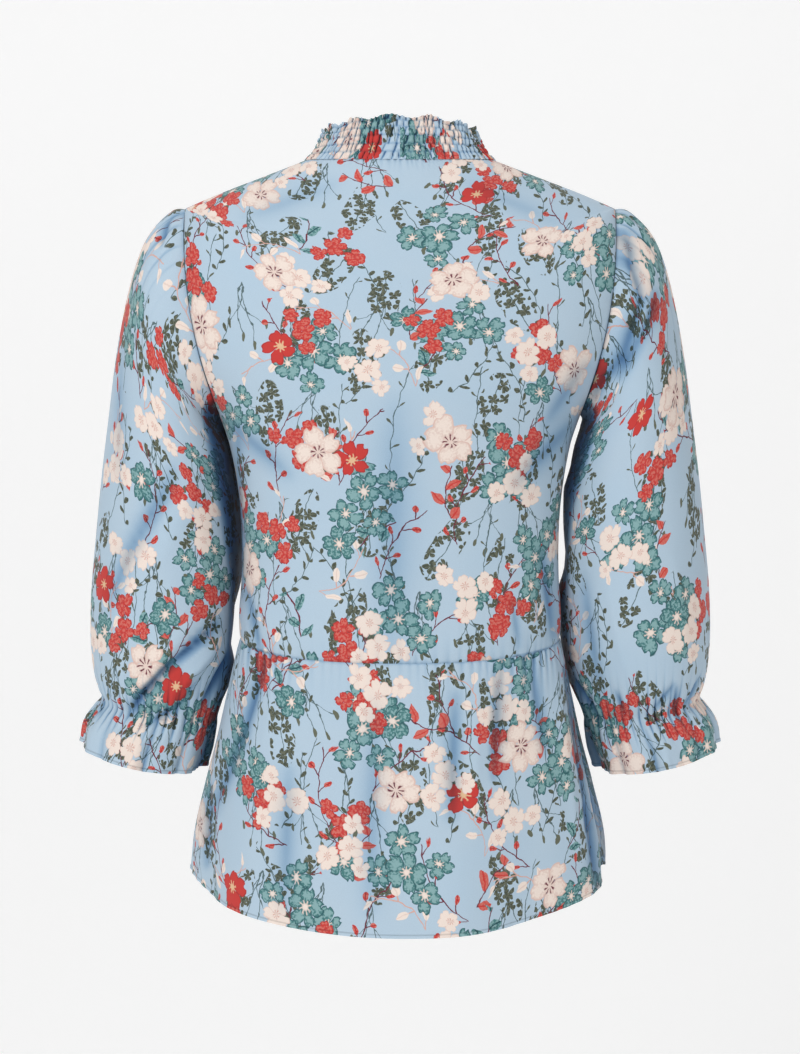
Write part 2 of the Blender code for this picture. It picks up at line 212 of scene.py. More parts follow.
# %% Helper for node trees
class Net:
    """A node tree, with calls that add one node and give back its output."""

    def __init__(self, tree):
        self.tree = tree

    def feed(self, socket, value):
        if isinstance(value, Term):
            self.tree.links.new(value.socket, socket)
        else:
            socket.default_value = value

    def node(self, kind, inputs=None, **settings):
        made = self.tree.nodes.new(kind)
        for name, value in settings.items():
            setattr(made, name, value)
        for key, value in (inputs or {}).items():
            self.feed(made.inputs[key], value)
        return Outputs(self, made)

    def group(self, tree, inputs):
        return self.node("ShaderNodeGroup", inputs, node_tree=tree)

    def maths(self, operation, *values):
        return self.node("ShaderNodeMath", dict(enumerate(values)), operation=operation)[0]

    def line(self, value, slope, start):
        """value * slope + start, in one node."""
        return self.maths("MULTIPLY_ADD", value, slope, start)

    def vector(self, operation, *values):
        made = self.node("ShaderNodeVectorMath", dict(enumerate(values)), operation=operation)
        return made["Value" if operation in ("LENGTH", "DOT_PRODUCT") else "Vector"]

    def part(self, vector, axis):
        """One part of a vector: 0 for x, 1 for y, 2 for z."""
        return self.vector("DOT_PRODUCT", vector, [float(axis == i) for i in range(3)])

    def turned(self, vector, angle):
        inputs = {"Vector": vector, "Angle": angle}
        return self.node("ShaderNodeVectorRotate", inputs, rotation_type="Z_AXIS")[0]

    def step(self, value, low, high):
        """0 below low, 1 above high, with a soft rise between, which needs no clamp."""
        inputs = {"Value": value, "From Min": low, "From Max": high}
        kind = {"interpolation_type": "SMOOTHSTEP", "clamp": False}
        return self.node("ShaderNodeMapRange", inputs, **kind)["Result"]

    def inside(self, value, limit, soft):
        """1 where the value is under the limit, with a soft edge."""
        return self.step(self.maths("SUBTRACT", limit, value), -soft, soft)

    def mix(self, share, under, over, kind="RGBA"):
        inputs = {"Factor": share, "A": under, "B": over}
        return self.node("ShaderNodeMix", inputs, data_type=kind)["Result"]

    def give(self, values):
        """Feed the outputs of a group, and give back the finished group."""
        for name, value in values.items():
            self.feed(self.leave.inputs[name], value)
        return self.tree


def new_group(title, inputs, outputs):
    """An empty shader group and what it reads. Its sockets are listed by their kind."""
    tree = bpy.data.node_groups.new(title, "ShaderNodeTree")
    for way, kinds in (("INPUT", inputs), ("OUTPUT", outputs)):
        for kind, names in kinds.items():
            for name in names.split():
                tree.interface.new_socket(name, in_out=way, socket_type=f"NodeSocket{kind}")
    net = Net(tree)
    read = net.node("NodeGroupInput")
    net.leave = tree.nodes.new("NodeGroupOutput")
    return net, read


print("node helper ready")

# %% [markdown]
# ## The print
#
# A printed cloth repeats a drawing. Here each kind of motif has a loose grid of its own: every
# cell holds one motif, moved and turned by chance, and the grids are laid over each other with
# unlike sizes and slants, so that no rows show. All places are in metres on the flat cloth,
# which the UV map holds, so the flowers follow the cloth round the body and into its folds.

# %% Group that places one motif in each cell
CELL_NUMBERS = (1.0, 61.3, 0)  # one step across and one step up, in the number of a cell


def make_motif_cells():
    net, read = new_group(
        "Motif cells",
        {"Vector": "Flat Cell", "Float": "Slant Loose Turn Seed"},
        {"Vector": "Local", "Float": "Chance"},
    )
    cells = net.vector("DIVIDE", net.turned(read["Flat"], read["Slant"]), read["Cell"])
    corner = net.vector("FLOOR", cells)
    number = net.vector("DOT_PRODUCT", corner, CELL_NUMBERS) + read["Seed"]
    noise = net.node("ShaderNodeTexWhiteNoise", {"W": number}, noise_dimensions="1D")
    chance = net.node("ShaderNodeSeparateColor", {"Color": noise["Color"]})
    middle = net.node("ShaderNodeCombineXYZ", {
        axis: net.line(chance[draw] - 0.5, read["Loose"], 0.5)
        for axis, draw in (("X", "Red"), ("Y", "Green"))
    })[0]
    from_middle = net.vector("SUBTRACT", net.vector("SUBTRACT", cells, corner), middle)
    local = net.vector("MULTIPLY", from_middle, read["Cell"])
    angle = (noise["Value"] - 0.5) * read["Turn"] - read["Slant"]
    return net.give({"Local": net.turned(local, angle), "Chance": chance["Blue"]})


MOTIF_CELLS = make_motif_cells()
print("group:", MOTIF_CELLS.name)

# %% [markdown]
# A blossom has five round petals that meet in the middle. The angle round the middle is folded
# into one petal, and that petal is an ellipse with a small notch at its tip. A chance value for
# each petal makes it longer or shorter, wider or narrower, and leans it a little, as in a brush
# drawing. The distance from the ellipse gives the fill, a drawn outline and the petal's middle,
# and the fine spokes round the heart are stamens.

# %% Group that draws one blossom
PETALS = 5
PETAL_MIDDLE, PETAL_HALF = 0.59, 0.41  # along the petal, where its whole reach is 1
DRAWN = "Fill Line Depth Reach Stamens"


def make_blossom():
    net, read = new_group(
        "Blossom", {"Vector": "Local At", "Float": "Turn Size Plump Notch Vary"}, {"Float": DRAWN}
    )
    local = net.turned(net.vector("SUBTRACT", read["Local"], read["At"]), read["Turn"])
    reach = net.vector("LENGTH", local) / read["Size"]
    petals = net.maths("ARCTAN2", net.part(local, 1), net.part(local, 0)) * (PETALS / math.tau)
    sector = petals + 5.5
    key = net.line(net.maths("FLOOR", sector), 7.31, read["Turn"])
    key = net.line(read["Vary"], 93.7, key)
    chance = net.node("ShaderNodeTexWhiteNoise", {"W": key}, noise_dimensions="1D")
    own = net.node("ShaderNodeSeparateColor", {"Color": chance["Color"]})
    longer = net.line(own["Red"], 0.26, 0.80)
    wider = net.line(own["Green"], 0.30, 0.86)
    lean = net.line(own["Blue"], 0.30, -0.15)
    near = reach / longer
    plump = read["Plump"] * wider
    angle = net.line(net.maths("FRACT", sector) - 0.5, math.tau / PETALS, lean)
    along = near * net.maths("COSINE", angle)
    aside = abs(near * net.maths("SINE", angle))
    long_part = (along - PETAL_MIDDLE) / PETAL_HALF
    wide_part = aside / plump
    square = long_part * long_part + wide_part * wide_part
    notch = read["Notch"] * net.line(chance["Value"], 1.2, 0.4)
    tip = net.inside(aside, 0.07, 0.07) * net.step(along, 0.6, 1.0)
    edge = net.line(tip, notch, net.maths("SQRT", square))
    shape = net.maths("MAXIMUM", net.inside(edge, 1.0, 0.05), net.inside(reach, 0.24, 0.03))
    rim = net.step(edge, 0.78, 0.94) * net.step(reach, 0.18, 0.34)
    spokes = net.maths("FRACT", (petals + 5.3) * 1.6)
    spoke = net.inside(abs(spokes - 0.5), 0.17, 0.06)
    ring = net.step(reach, 0.07, 0.12) * net.inside(reach, 0.29, 0.04)
    return net.give({
        "Fill": shape,
        "Line": rim * shape,
        "Depth": net.maths("MAXIMUM", 1.0 - edge, 0.0),
        "Reach": reach,
        "Stamens": spoke * ring,
    })


BLOSSOM = make_blossom()
print("group:", BLOSSOM.name, len(BLOSSOM.nodes), "nodes")

# %% [markdown]
# Blossoms of a kind grow in clusters. A few are laid over each other at charted places, and
# where two meet, the upper one hides the lower one's outline.


# %% Charts of the clusters
def rows_of(kind, *table):
    """A table's rows as named values of one kind."""
    return [kind(*row) for row in table]


PlacedBlossom = namedtuple("PlacedBlossom", "x y turn size")
CLUSTERS = {
    "teal cluster": rows_of(
        PlacedBlossom,
        (-0.0235, 0.0105, 0.5, 0.78),
        (0.0190, 0.0165, 1.2, 0.84),
        (0.0225, -0.0110, 2.3, 0.70),
        (-0.0120, -0.0190, 1.9, 0.92),
        (-0.0020, 0.0040, 0.2, 1.00),
    ),
    "small cluster": rows_of(
        PlacedBlossom,
        (0.0160, 0.0050, 0.5, 0.78),
        (-0.0130, 0.0080, 2.6, 0.70),
        (-0.0050, -0.0140, 1.7, 0.94),
        (0.0010, 0.0020, 0.1, 1.00),
    ),
}
print("blossoms:", {title: len(chart) for title, chart in CLUSTERS.items()})


# %% Groups that lay blossoms into clusters
def make_cluster(title, blossoms):
    net, read = new_group(
        title, {"Vector": "Local", "Float": "Size Spread Plump Notch Vary"}, {"Float": DRAWN}
    )
    shrink = {0: read["Local"], "Scale": net.maths("DIVIDE", 1.0, read["Spread"])}
    close = net.node("ShaderNodeVectorMath", shrink, operation="SCALE")["Vector"]
    size = read["Size"] / read["Spread"]
    seen = {"Line": 0.0, "Depth": 0.0, "Reach": 2.0, "Stamens": 0.0}
    shape = 0.0
    for blossom in blossoms:
        drawn = net.group(BLOSSOM, {
            "Local": close,
            "At": (blossom.x, blossom.y, 0),
            "Turn": blossom.turn,
            "Size": size * blossom.size,
            **{name: read[name] for name in ("Plump", "Notch", "Vary")},
        })
        fill = drawn["Fill"]
        seen = {name: net.mix(fill, under, drawn[name], "FLOAT") for name, under in seen.items()}
        shape = net.maths("MAXIMUM", shape, fill)
    return net.give({"Fill": shape, **seen})


CLUSTER_GROUPS = {title: make_cluster(title, chart) for title, chart in CLUSTERS.items()}
print("groups:", list(CLUSTER_GROUPS))

# %% [markdown]
# Between the blossoms hang thin sprigs. A sprig is a bent line with a leaf to the left and to
# the right by turns: the length along the stem is folded into one leaf's stretch. The same
# group with longer stalks and round ends draws a twig with buds.

# %% Group that draws a sprig
LINE_SOFT = 0.00012
LEAF_LEAN = -0.75  # radians from the stem's side


def make_sprig():
    net, read = new_group(
        "Sprig",
        {"Vector": "Local", "Float": "Half Bend Pace Stalk Leaf Round Stem"},
        {"Float": "Stem Leaf Vein"},
    )
    along = net.part(read["Local"], 1)
    share = along / read["Half"]
    bow = net.maths("COSINE", share * 1.7) * read["Bend"]
    aside = net.part(read["Local"], 0) - bow
    within = net.inside(abs(share), 1.0, 0.02)
    stem = net.inside(abs(aside), read["Stem"], LINE_SOFT)
    paces = along / read["Pace"]
    side = net.maths("FLOORED_MODULO", net.maths("FLOOR", paces), 2.0) * 2.0 - 1.0
    from_stem = aside * side
    up = (net.maths("FRACT", paces) - 0.25) * read["Pace"]
    beside = net.node("ShaderNodeCombineXYZ", {"X": from_stem, "Y": up})[0]
    leaning = net.turned(beside, LEAF_LEAN)
    out, wide = net.part(leaning, 0), net.part(leaning, 1)
    middle = read["Stalk"] + read["Leaf"] * 0.9
    long_part = (out - middle) / read["Leaf"]
    wide_part = wide / (read["Leaf"] * read["Round"])
    leaf = net.inside(long_part * long_part + wide_part * wide_part, 1.0, 0.1)
    reach = net.step(out, -0.0002, 0.0002) * net.inside(out, middle, 0.0003)
    stalk = net.inside(abs(wide), read["Stem"], LINE_SOFT) * reach
    vein = net.inside(abs(wide_part), 0.14, 0.06) * leaf
    return net.give({
        "Stem": net.maths("MAXIMUM", stem, stalk) * within,
        "Leaf": leaf * within,
        "Vein": vein,
    })


SPRIG = make_sprig()
print("group:", SPRIG.name, len(SPRIG.nodes), "nodes")

# %% [markdown]
# Fans of long thin stalks hang between the flowers. Each stalk is a curve given by how far it
# spreads, how long it is and how much it sways. It swells in a few places, where the brush was
# pressed, and it ends in a dark seed.

# %% Group that draws a fan of stalks
FAN = rows_of(
    namedtuple("Stalk", "spread length sway"),
    (-0.0170, 0.0360, 0.0040),
    (-0.0060, 0.0500, -0.0022),
    (0.0050, 0.0440, 0.0028),
    (0.0150, 0.0320, -0.0030),
)
FAN_TOP = 0.024
SWELLS = 3.7  # along each stalk
SEED_HALF_WIDTH, SEED_HALF_LENGTH = 0.0015, 0.0036


def make_fan():
    net, read = new_group(
        "Fan of stalks", {"Vector": "Local", "Float": "Thick"}, {"Float": "Stalk Seed"}
    )
    aside = net.part(read["Local"], 0)
    down = FAN_TOP - net.part(read["Local"], 1)
    stalks, seeds = 0.0, 0.0
    for stalk in FAN:
        share = down / stalk.length
        sway = net.maths("SINE", share * math.pi) * stalk.sway
        away = abs(aside - net.line(share * share, stalk.spread, sway))
        pulse = abs(net.maths("FRACT", share * SWELLS) - 0.5)
        swell = net.line(net.inside(pulse, 0.09, 0.06), 1.3, 1.0)
        line = net.inside(away, read["Thick"] * swell, 0.00015)
        within = net.step(share, -0.01, 0.01) * net.inside(share, 1.0, 0.01)
        stalks = net.maths("MAXIMUM", stalks, line * within)
        wide = (aside - stalk.spread) / SEED_HALF_WIDTH
        long = (down - stalk.length) / SEED_HALF_LENGTH
        seeds = net.maths("MAXIMUM", seeds, net.inside(wide * wide + long * long, 1.0, 0.15))
    return net.give({"Stalk": stalks, "Seed": seeds})


FAN_GROUP = make_fan()
print("group:", FAN_GROUP.name, len(FAN_GROUP.nodes), "nodes")

# %% [markdown]
# The colours are read off the cloth. They are written as the eye sees them, in sRGB, and
# turned into Blender's linear values once.


# %% Colours of the print
def linear(red, green, blue):
    """A colour given as sRGB from 0 to 255, as Blender's linear values."""
    values = [c / 255 for c in (red, green, blue)]
    return tuple(c / 12.92 if c <= 0.04045 else ((c + 0.055) / 1.055) ** 2.4 for c in values) + (1,)


SKY = linear(167, 190, 208)
SKY_WARM = linear(175, 193, 207)
SKY_FADED = linear(192, 206, 217)
CREAM = linear(227, 212, 202)
CREAM_SHADE = linear(217, 197, 187)
BLUSH = linear(205, 160, 148)
TEAL = linear(68, 117, 118)
TEAL_PALE = linear(128, 164, 166)
TEAL_DARK = linear(36, 78, 84)
RED = linear(190, 56, 52)
RED_PALE = linear(199, 106, 95)
RED_DARK = linear(140, 36, 40)
OLIVE = linear(97, 101, 85)
OLIVE_DARK = linear(68, 74, 62)
STEM_GREY = linear(84, 103, 106)
PLUM = linear(104, 42, 57)
HEART = linear(216, 178, 140)
print("sky in linear values:", [round(c, 3) for c in SKY[:3]])

# %% [markdown]
# Each kind of motif has its own cells: their size and slant, how far a motif wanders from the
# middle of its cell, how far it turns, the seed of its chance and the share of cells that hold
# one. The sprigs share one drawing, with a length, bend, leaf and line of their own.

# %% Where each kind of motif lies
Motif = namedtuple("Motif", "cell slant loose turn seed keep")
MOTIFS = {
    "fans": Motif((0.050, 0.082, 0), -0.05, 0.35, 0.9, 3, 0.80),
    "stems": Motif((0.036, 0.112, 0), 0.06, 0.35, 0.50, 5, 0.55),
    "sprigs": Motif((0.044, 0.086, 0), -0.10, 0.35, 1.30, 11, 0.68),
    "stars": Motif((0.0098, 0.0104, 0), 0.20, 0.40, 6.28, 23, 0.78),
    "star_fields": Motif((0.056, 0.072, 0), -0.35, 0.40, 1.3, 29, 0.80),
    "twigs": Motif((0.062, 0.092, 0), 0.42, 0.30, 2.2, 37, 0.82),
    "red_leaves": Motif((0.104, 0.118, 0), -0.55, 0.40, 5.0, 41, 0.62),
    "teal_leaves": Motif((0.110, 0.122, 0), 0.70, 0.40, 6.0, 47, 0.55),
    "cream_buds": Motif((0.070, 0.082, 0), -0.72, 0.30, 3.4, 43, 0.60),
    "teal": Motif((0.120, 0.112, 0), 0.38, 0.34, 6.28, 53, 0.92),
    "teal_single": Motif((0.094, 0.102, 0), -0.30, 0.50, 6.28, 59, 0.45),
    "red": Motif((0.098, 0.094, 0), -0.22, 0.40, 6.28, 61, 0.78),
    "red_single": Motif((0.120, 0.140, 0), 0.55, 0.50, 6.28, 67, 0.45),
    "cream": Motif((0.098, 0.092, 0), 0.82, 0.40, 6.28, 71, 0.76),
    "large": Motif((0.108, 0.116, 0), 0.15, 0.50, 6.28, 83, 0.70),
}
SprigSizes = namedtuple("SprigSizes", "Half Bend Pace Stalk Leaf Round Stem")
SPRIGS = {
    "stems": SprigSizes(0.046, 0.006, 0.0170, 0.0030, 0.0024, 0.34, 0.00036),
    "sprigs": SprigSizes(0.034, -0.006, 0.0074, 0.0010, 0.0030, 0.50, 0.00036),
    "twigs": SprigSizes(0.038, 0.009, 0.0130, 0.0072, 0.0034, 0.62, 0.00046),
    "red_leaves": SprigSizes(0.022, 0.005, 0.0125, 0.0016, 0.0068, 0.50, 0.00048),
    "teal_leaves": SprigSizes(0.019, -0.004, 0.0130, 0.0014, 0.0075, 0.50, 0.00060),
    "cream_buds": SprigSizes(0.026, -0.008, 0.0150, 0.0062, 0.0054, 0.55, 0.00042),
}
FAN_THICKNESS, THREAD_HALF_WIDTH = 0.00034, 0.0004
STAR = {"Size": 0.0062, "Plump": 0.30, "Notch": 0.0}
STAR_FIELD = (1 / 0.0125, 1 / 0.030, 0)  # one over its half width and half length
WOBBLES = ((60, 0.008), (280, 0.0015))  # scale and reach of the slow and of the fine one
print("kinds of motif:", len(MOTIFS))

# %% [markdown]
# The layers go from the farthest back to the front: fans of stalks, olive sprigs and stars,
# plum twigs with red buds, leaves, cream buds, then the clusters in teal, red and cream, and
# the few large blossoms on top. Two wobbles of the whole cloth, a slow one and a fine one, make
# the lines look drawn by hand.


# %% Group that prints all layers
def make_flower_print():
    net, read = new_group("Flower print", {"Vector": "Flat"}, {"Color": "Color"})

    def noise(scale, detail=1.0):
        inputs = {"Vector": read["Flat"], "Scale": scale, "Detail": detail}
        return net.node("ShaderNodeTexNoise", inputs)

    drawn = read["Flat"]
    for scale, reach in WOBBLES:
        wobble = net.vector("SUBTRACT", noise(scale, 1.5)["Color"], (0.5, 0.5, 0.5))
        drawn = net.vector("ADD", drawn, net.vector("MULTIPLY", wobble, (reach, reach, 0)))
    mottle = net.step(noise(480)[0], 0.40, 0.60)
    slow = noise(22)[0]

    def cells(kind):
        motif = MOTIFS[kind]
        out = net.group(MOTIF_CELLS, {
            "Flat": drawn, "Cell": motif.cell, "Slant": motif.slant,
            "Loose": motif.loose, "Turn": motif.turn, "Seed": motif.seed,
        })
        return out["Local"], net.maths("LESS_THAN", out["Chance"], motif.keep), out["Chance"]

    def laid(under, mask, kept, colour):
        return net.mix(mask * kept, under, colour)

    def sprig(under, kind, stem, leaf, vein):
        local, kept, _ = cells(kind)
        out = net.group(SPRIG, {"Local": local, **SPRIGS[kind]._asdict()})
        under = laid(under, out["Stem"], kept, stem)
        return laid(under, out["Leaf"], kept, net.mix(out["Vein"], leaf, vein))

    def blossoms(under, kind, group, sizes, petal, line, heart, stamens, line_share):
        local, kept, chance = cells(kind)
        out = net.group(group, {"Local": local, "Vary": chance, **sizes})
        rim, middle = petal
        share = net.step(net.line(mottle, 0.45, out["Depth"]), 0.38, 0.80)
        inked = net.mix(share, rim, middle)
        inked = net.mix(out["Line"] * line_share, inked, line)
        inked = net.mix(net.inside(out["Reach"], 0.15, 0.05), inked, heart)
        inked = net.mix(out["Stamens"], inked, stamens)
        return laid(under, out["Fill"], kept, inked)

    colour = net.mix(slow, SKY, SKY_WARM)
    olive = net.mix(mottle, OLIVE, OLIVE_DARK)
    mixed_red = net.mix(mottle, RED, RED_PALE)
    mixed_teal = net.mix(mottle, TEAL, TEAL_PALE)

    local, kept, _ = cells("fans")
    fans = net.group(FAN_GROUP, {"Local": local, "Thick": FAN_THICKNESS})
    colour = laid(colour, fans["Stalk"], kept, STEM_GREY)
    colour = laid(colour, fans["Seed"], kept, OLIVE)
    colour = sprig(colour, "stems", STEM_GREY, OLIVE, OLIVE_DARK)
    colour = sprig(colour, "sprigs", STEM_GREY, olive, OLIVE_DARK)

    field, field_kept, _ = cells("star_fields")
    from_field = net.vector("LENGTH", net.vector("MULTIPLY", field, STAR_FIELD))
    in_field = net.inside(from_field, 1.0, 0.02) * field_kept
    thread = net.inside(abs(net.part(field, 0)), THREAD_HALF_WIDTH, 0.00015)
    colour = laid(colour, thread, in_field, STEM_GREY)
    local, kept, chance = cells("stars")
    star = net.group(BLOSSOM, {"Local": local, "Vary": chance, **STAR})
    colour = laid(colour, star["Fill"], kept * in_field, olive)

    colour = sprig(colour, "twigs", PLUM, mixed_red, RED_DARK)
    colour = sprig(colour, "red_leaves", PLUM, net.mix(slow, RED_PALE, mixed_red), RED)
    colour = sprig(colour, "teal_leaves", PLUM, mixed_teal, TEAL_DARK)
    colour = sprig(colour, "cream_buds", BLUSH, CREAM, CREAM_SHADE)

    teal, small = CLUSTER_GROUPS["teal cluster"], CLUSTER_GROUPS["small cluster"]
    colour = blossoms(colour, "teal", teal,
                      {"Size": 0.0175, "Spread": 0.95, "Plump": 0.38, "Notch": 0.45},
                      (TEAL, TEAL_PALE), TEAL_DARK, CREAM, CREAM_SHADE, 0.85)
    colour = blossoms(colour, "teal_single", BLOSSOM,
                      {"Size": 0.0160, "Plump": 0.37, "Notch": 0.45},
                      (TEAL, mixed_teal), TEAL_DARK, CREAM, CREAM_SHADE, 0.85)
    colour = blossoms(colour, "red", small,
                      {"Size": 0.0112, "Spread": 1.10, "Plump": 0.42, "Notch": 0.20},
                      (RED, mixed_red), RED_DARK, RED_PALE, RED, 0.65)
    colour = blossoms(colour, "red_single", BLOSSOM,
                      {"Size": 0.0165, "Plump": 0.38, "Notch": 0.30},
                      (RED, RED), RED_DARK, HEART, HEART, 0.6)
    colour = blossoms(colour, "cream", small,
                      {"Size": 0.0122, "Spread": 1.20, "Plump": 0.44, "Notch": 0.3},
                      (CREAM, CREAM), BLUSH, CREAM_SHADE, BLUSH, 0.45)
    colour = blossoms(colour, "large", BLOSSOM,
                      {"Size": 0.0215, "Plump": 0.40, "Notch": 0.40},
                      (CREAM_SHADE, CREAM), BLUSH, CREAM_SHADE, PLUM, 0.55)
    return net.give({"Color": colour})


FLOWER_PRINT = make_flower_print()
print("group:", FLOWER_PRINT.name, len(FLOWER_PRINT.nodes), "nodes")

# %% [markdown]
# Crepe has a pebbly surface from its twisted threads. Two fine noises that cross each other make
# it, too small to see from afar, but they take the gloss off the cloth and soften its folds. The
# same noises also lighten and darken the colour a little, as painted shade on the pebbles.

# %% Group for the crepe's surface
THREAD_PACES = ((2600.0, 900.0, 1), (900.0, 2600.0, 1))


def make_crepe_surface():
    net, read = new_group("Crepe surface", {"Vector": "Flat"}, {"Float": "Height Shade"})
    drawn_out = [net.vector("MULTIPLY", read["Flat"], paces) for paces in THREAD_PACES]
    one, other = (
        net.node("ShaderNodeTexNoise", {"Vector": flat, "Scale": 1.0, "Detail": 0.0})[0]
        for flat in drawn_out
    )
    height = one + other
    # Shade lightens and darkens the colour with the pebbles: painted shade
    return net.give({"Height": height, "Shade": net.line(height, 0.10, 0.90)})


CREPE_SURFACE = make_crepe_surface()
print("group:", CREPE_SURFACE.name)

# %% [markdown]
# Each sheet keeps its distance from the hem in an attribute. A hem of this cloth is rolled and
# only 2 to 3 mm wide, and its stitches are too small to see, so a fine painted shadow line
# is enough.
#
# The other attribute is a painted shade: how dark a place is painted where it lies deep in a
# fold, by a seam or beside the body. Light that goes into a real fold falls on cloth again and
# again and takes more of its blue each time, so the folds of a thin pale-blue crepe turn a
# strong dark blue, not grey. The group paints this shade by multiplying the colour accordingly.

# %% Groups for the hem line and for the painted fold shade
HEM_WIDTH = 0.0026
FOLD_SHADE_TINT = {"Red": 0.05, "Green": 0.13, "Blue": 0.28}


def make_hem_line():
    net, read = new_group("Hem line", {"Float": "Distance"}, {"Float": "Shade Height"})
    # a painted shadow line along the hem's edge, with a small dip in the bump
    line = net.inside(abs(read["Distance"] - HEM_WIDTH), 0.0005, 0.0004)
    return net.give({"Shade": net.line(line, -0.25, 1.0), "Height": line * -1.0})


def make_fold_shade():
    net, read = new_group("Fold shade", {"Color": "Color", "Float": "PaintedShade"}, {"Color": "Color"})
    # paints the shade: each channel is multiplied by its tint, raised to the amount of shade
    parts = net.node("ShaderNodeSeparateColor", {"Color": read["Color"]})
    shaded = {
        name: parts[name] * net.maths("POWER", tint, read["PaintedShade"])
        for name, tint in FOLD_SHADE_TINT.items()
    }
    return net.give({"Color": net.node("ShaderNodeCombineColor", shaded)["Color"]})


HEM_LINE = make_hem_line()
FOLD_SHADE = make_fold_shade()
print("groups:", HEM_LINE.name, "and", FOLD_SHADE.name)

# %% [markdown]
# The right side of the cloth and its reverse are two materials. The ink doesn't soak through,
# so the reverse shows the same flowers, paler. Both are matt, with a little sheen at a slant.

# %% Materials of the cloth
FINISH = {
    "Roughness": 0.72,
    "Specular IOR Level": 0.25,
    "Sheen Weight": 0.10,
    "Sheen Roughness": 0.5,
}


def make_crepe(title, fade, offset):
    """A printed crepe. fade is how pale the print is, and offset moves the print."""
    material = bpy.data.materials.new(title)
    material.use_nodes = True
    net = Net(material.node_tree)
    uv = net.node("ShaderNodeUVMap", uv_map="flat_cloth")["UV"]
    flat = net.vector("ADD", uv, (*offset, 0))
    faded = net.mix(fade, net.group(FLOWER_PRINT, {"Flat": flat})["Color"], SKY_FADED)
    # painted shade of folds, seams and the body's shadow, read from the sheet's attribute
    hollow = net.node("ShaderNodeAttribute", attribute_name="hollow")["Fac"]
    folded = net.group(FOLD_SHADE, {"Color": faded, "PaintedShade": hollow})["Color"]
    crepe = net.group(CREPE_SURFACE, {"Flat": uv})
    from_hem = net.node("ShaderNodeAttribute", attribute_name="from_hem")["Fac"]
    hem = net.group(HEM_LINE, {"Distance": from_hem})
    # the crepe's painted pebble shade and the hem's painted shadow line darken the colour
    shade = {"Factor": 1.0, "A": folded, "B": crepe["Shade"] * hem["Shade"]}
    shaded = net.node("ShaderNodeMix", shade, data_type="RGBA", blend_type="MULTIPLY")["Result"]
    weave = {"Strength": 0.25, "Distance": 0.0002, "Height": crepe["Height"]}
    pebbled = net.node("ShaderNodeBump", weave)[0]
    edge = {"Strength": 0.6, "Distance": 0.0003, "Height": hem["Height"], "Normal": pebbled}
    shader = material.node_tree.nodes["Principled BSDF"]
    net.feed(shader.inputs["Base Color"], shaded)
    net.feed(shader.inputs["Normal"], net.node("ShaderNodeBump", edge)[0])
    set_inputs(shader, FINISH)
    return material


REVERSE_FADE = 0.5
PRINT_OFFSETS = {
    "bodice_back": (0.31, 0.52),
    "bodice_front": (1.73, 0.91),
    "peplum_back": (2.38, 1.47),
    "peplum_front": (3.19, 2.26),
    "sleeve_left": (4.41, 0.35),
    "sleeve_right": (5.77, 1.12),
    "neck_band": (7.02, 2.05),
}
RIGHT_SIDE = {name: make_crepe(f"crepe_{name}", 0.0, at) for name, at in PRINT_OFFSETS.items()}
REVERSE = {name: make_crepe(f"reverse_{name}", REVERSE_FADE, at) for name, at in PRINT_OFFSETS.items()}
print("materials:", len(RIGHT_SIDE) + len(REVERSE))

# %% [markdown]
# ## From sections to sheets
#
# Every sheet starts as a flat grid, as the cloth does. The form of the piece is a table of
# sections with a smooth curve through them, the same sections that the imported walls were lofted
# from, read at many more places. The grid's points are moved onto that form, and its UV map
# keeps the length and width that the cloth had when it was flat.


# %% Reading a table of sections smoothly
def smooth(table, places):
    """The table's rows read at fractional places, on a Catmull-Rom curve through them."""
    rows = np.asarray(table, float)
    last = len(rows) - 1
    low = np.clip(np.floor(places).astype(int), 0, last - 1)
    part = (places - low)[:, None]
    a, b, c, d = (rows[np.clip(low + i, 0, last)] for i in (-1, 0, 1, 2))
    bend = part**2 * (a - 2.5 * b + 2 * c - d / 2)
    twist = part**3 * (1.5 * b - 1.5 * c + (d - a) / 2)
    return b + part * (c - a) / 2 + bend + twist


def columns_of(kind, table, places):
    """The smoothed table as named columns, each an upright array."""
    values = smooth(table, places)
    return kind(*(values[:, i : i + 1] for i in range(values.shape[1])))


def hump(values, middle, spread):
    """A soft hump: 1 at the middle, and nearly 0 from twice the spread on."""
    return np.exp(-(((values - middle) / spread) ** 2))


print("half way between 0 and 1:", smooth([[0.0], [0.0], [1.0], [1.0]], np.array([1.5])).item())


# %% Lengths on the flat cloth and the outward direction
def cloth_lengths(points, width=None):
    """Flat coordinates of a grid: how far along each row, and how far up from its first row."""
    along = np.linalg.norm(np.diff(points, axis=1), axis=2)
    across = np.concatenate([np.zeros((len(points), 1)), np.cumsum(along, axis=1)], axis=1)
    if width is not None:
        across = np.broadcast_to(np.linspace(0, width, points.shape[1]), across.shape)
    across = across - across[:, points.shape[1] // 2][:, None]
    steps = np.linalg.norm(np.diff(points, axis=0), axis=2).mean(axis=1)
    up = np.concatenate([[0], np.cumsum(steps)])
    return across, np.broadcast_to(up[:, None], across.shape)


def grid_normals(points, closed, axis):
    """The unit normals of a grid, away from the axis, and 1 or -1 for how its faces are wound."""
    wide = points
    if closed:
        wide = np.concatenate([points[:, -3:-1], points, points[:, 1:3]], axis=1)
    normals = np.cross(np.gradient(wide, axis=1), np.gradient(wide, axis=0))
    if closed:
        normals = normals[:, 2:-2]
    normals = normals / np.linalg.norm(normals, axis=2, keepdims=True)
    winding = np.sign((normals * (points - axis)).sum())
    return normals * winding, winding


def raised(points, relief, closed, axis):
    """The grid with each point moved out from the axis, square to the cloth, by its relief."""
    normals, _ = grid_normals(points, closed, axis)
    moved = points + normals * relief[..., None]
    if closed:
        moved[:, -1] = moved[:, 0]
    return moved


def flat_area(across, up):
    """The area of the cut piece on the flat cloth."""
    return float(abs((np.diff(across, axis=1)[:-1] * np.diff(up, axis=0)[:, :-1]).sum()))


print("a flat metre each way:", flat_area(*np.meshgrid([0.0, 1.0], [0.0, 1.0])), "square metre")
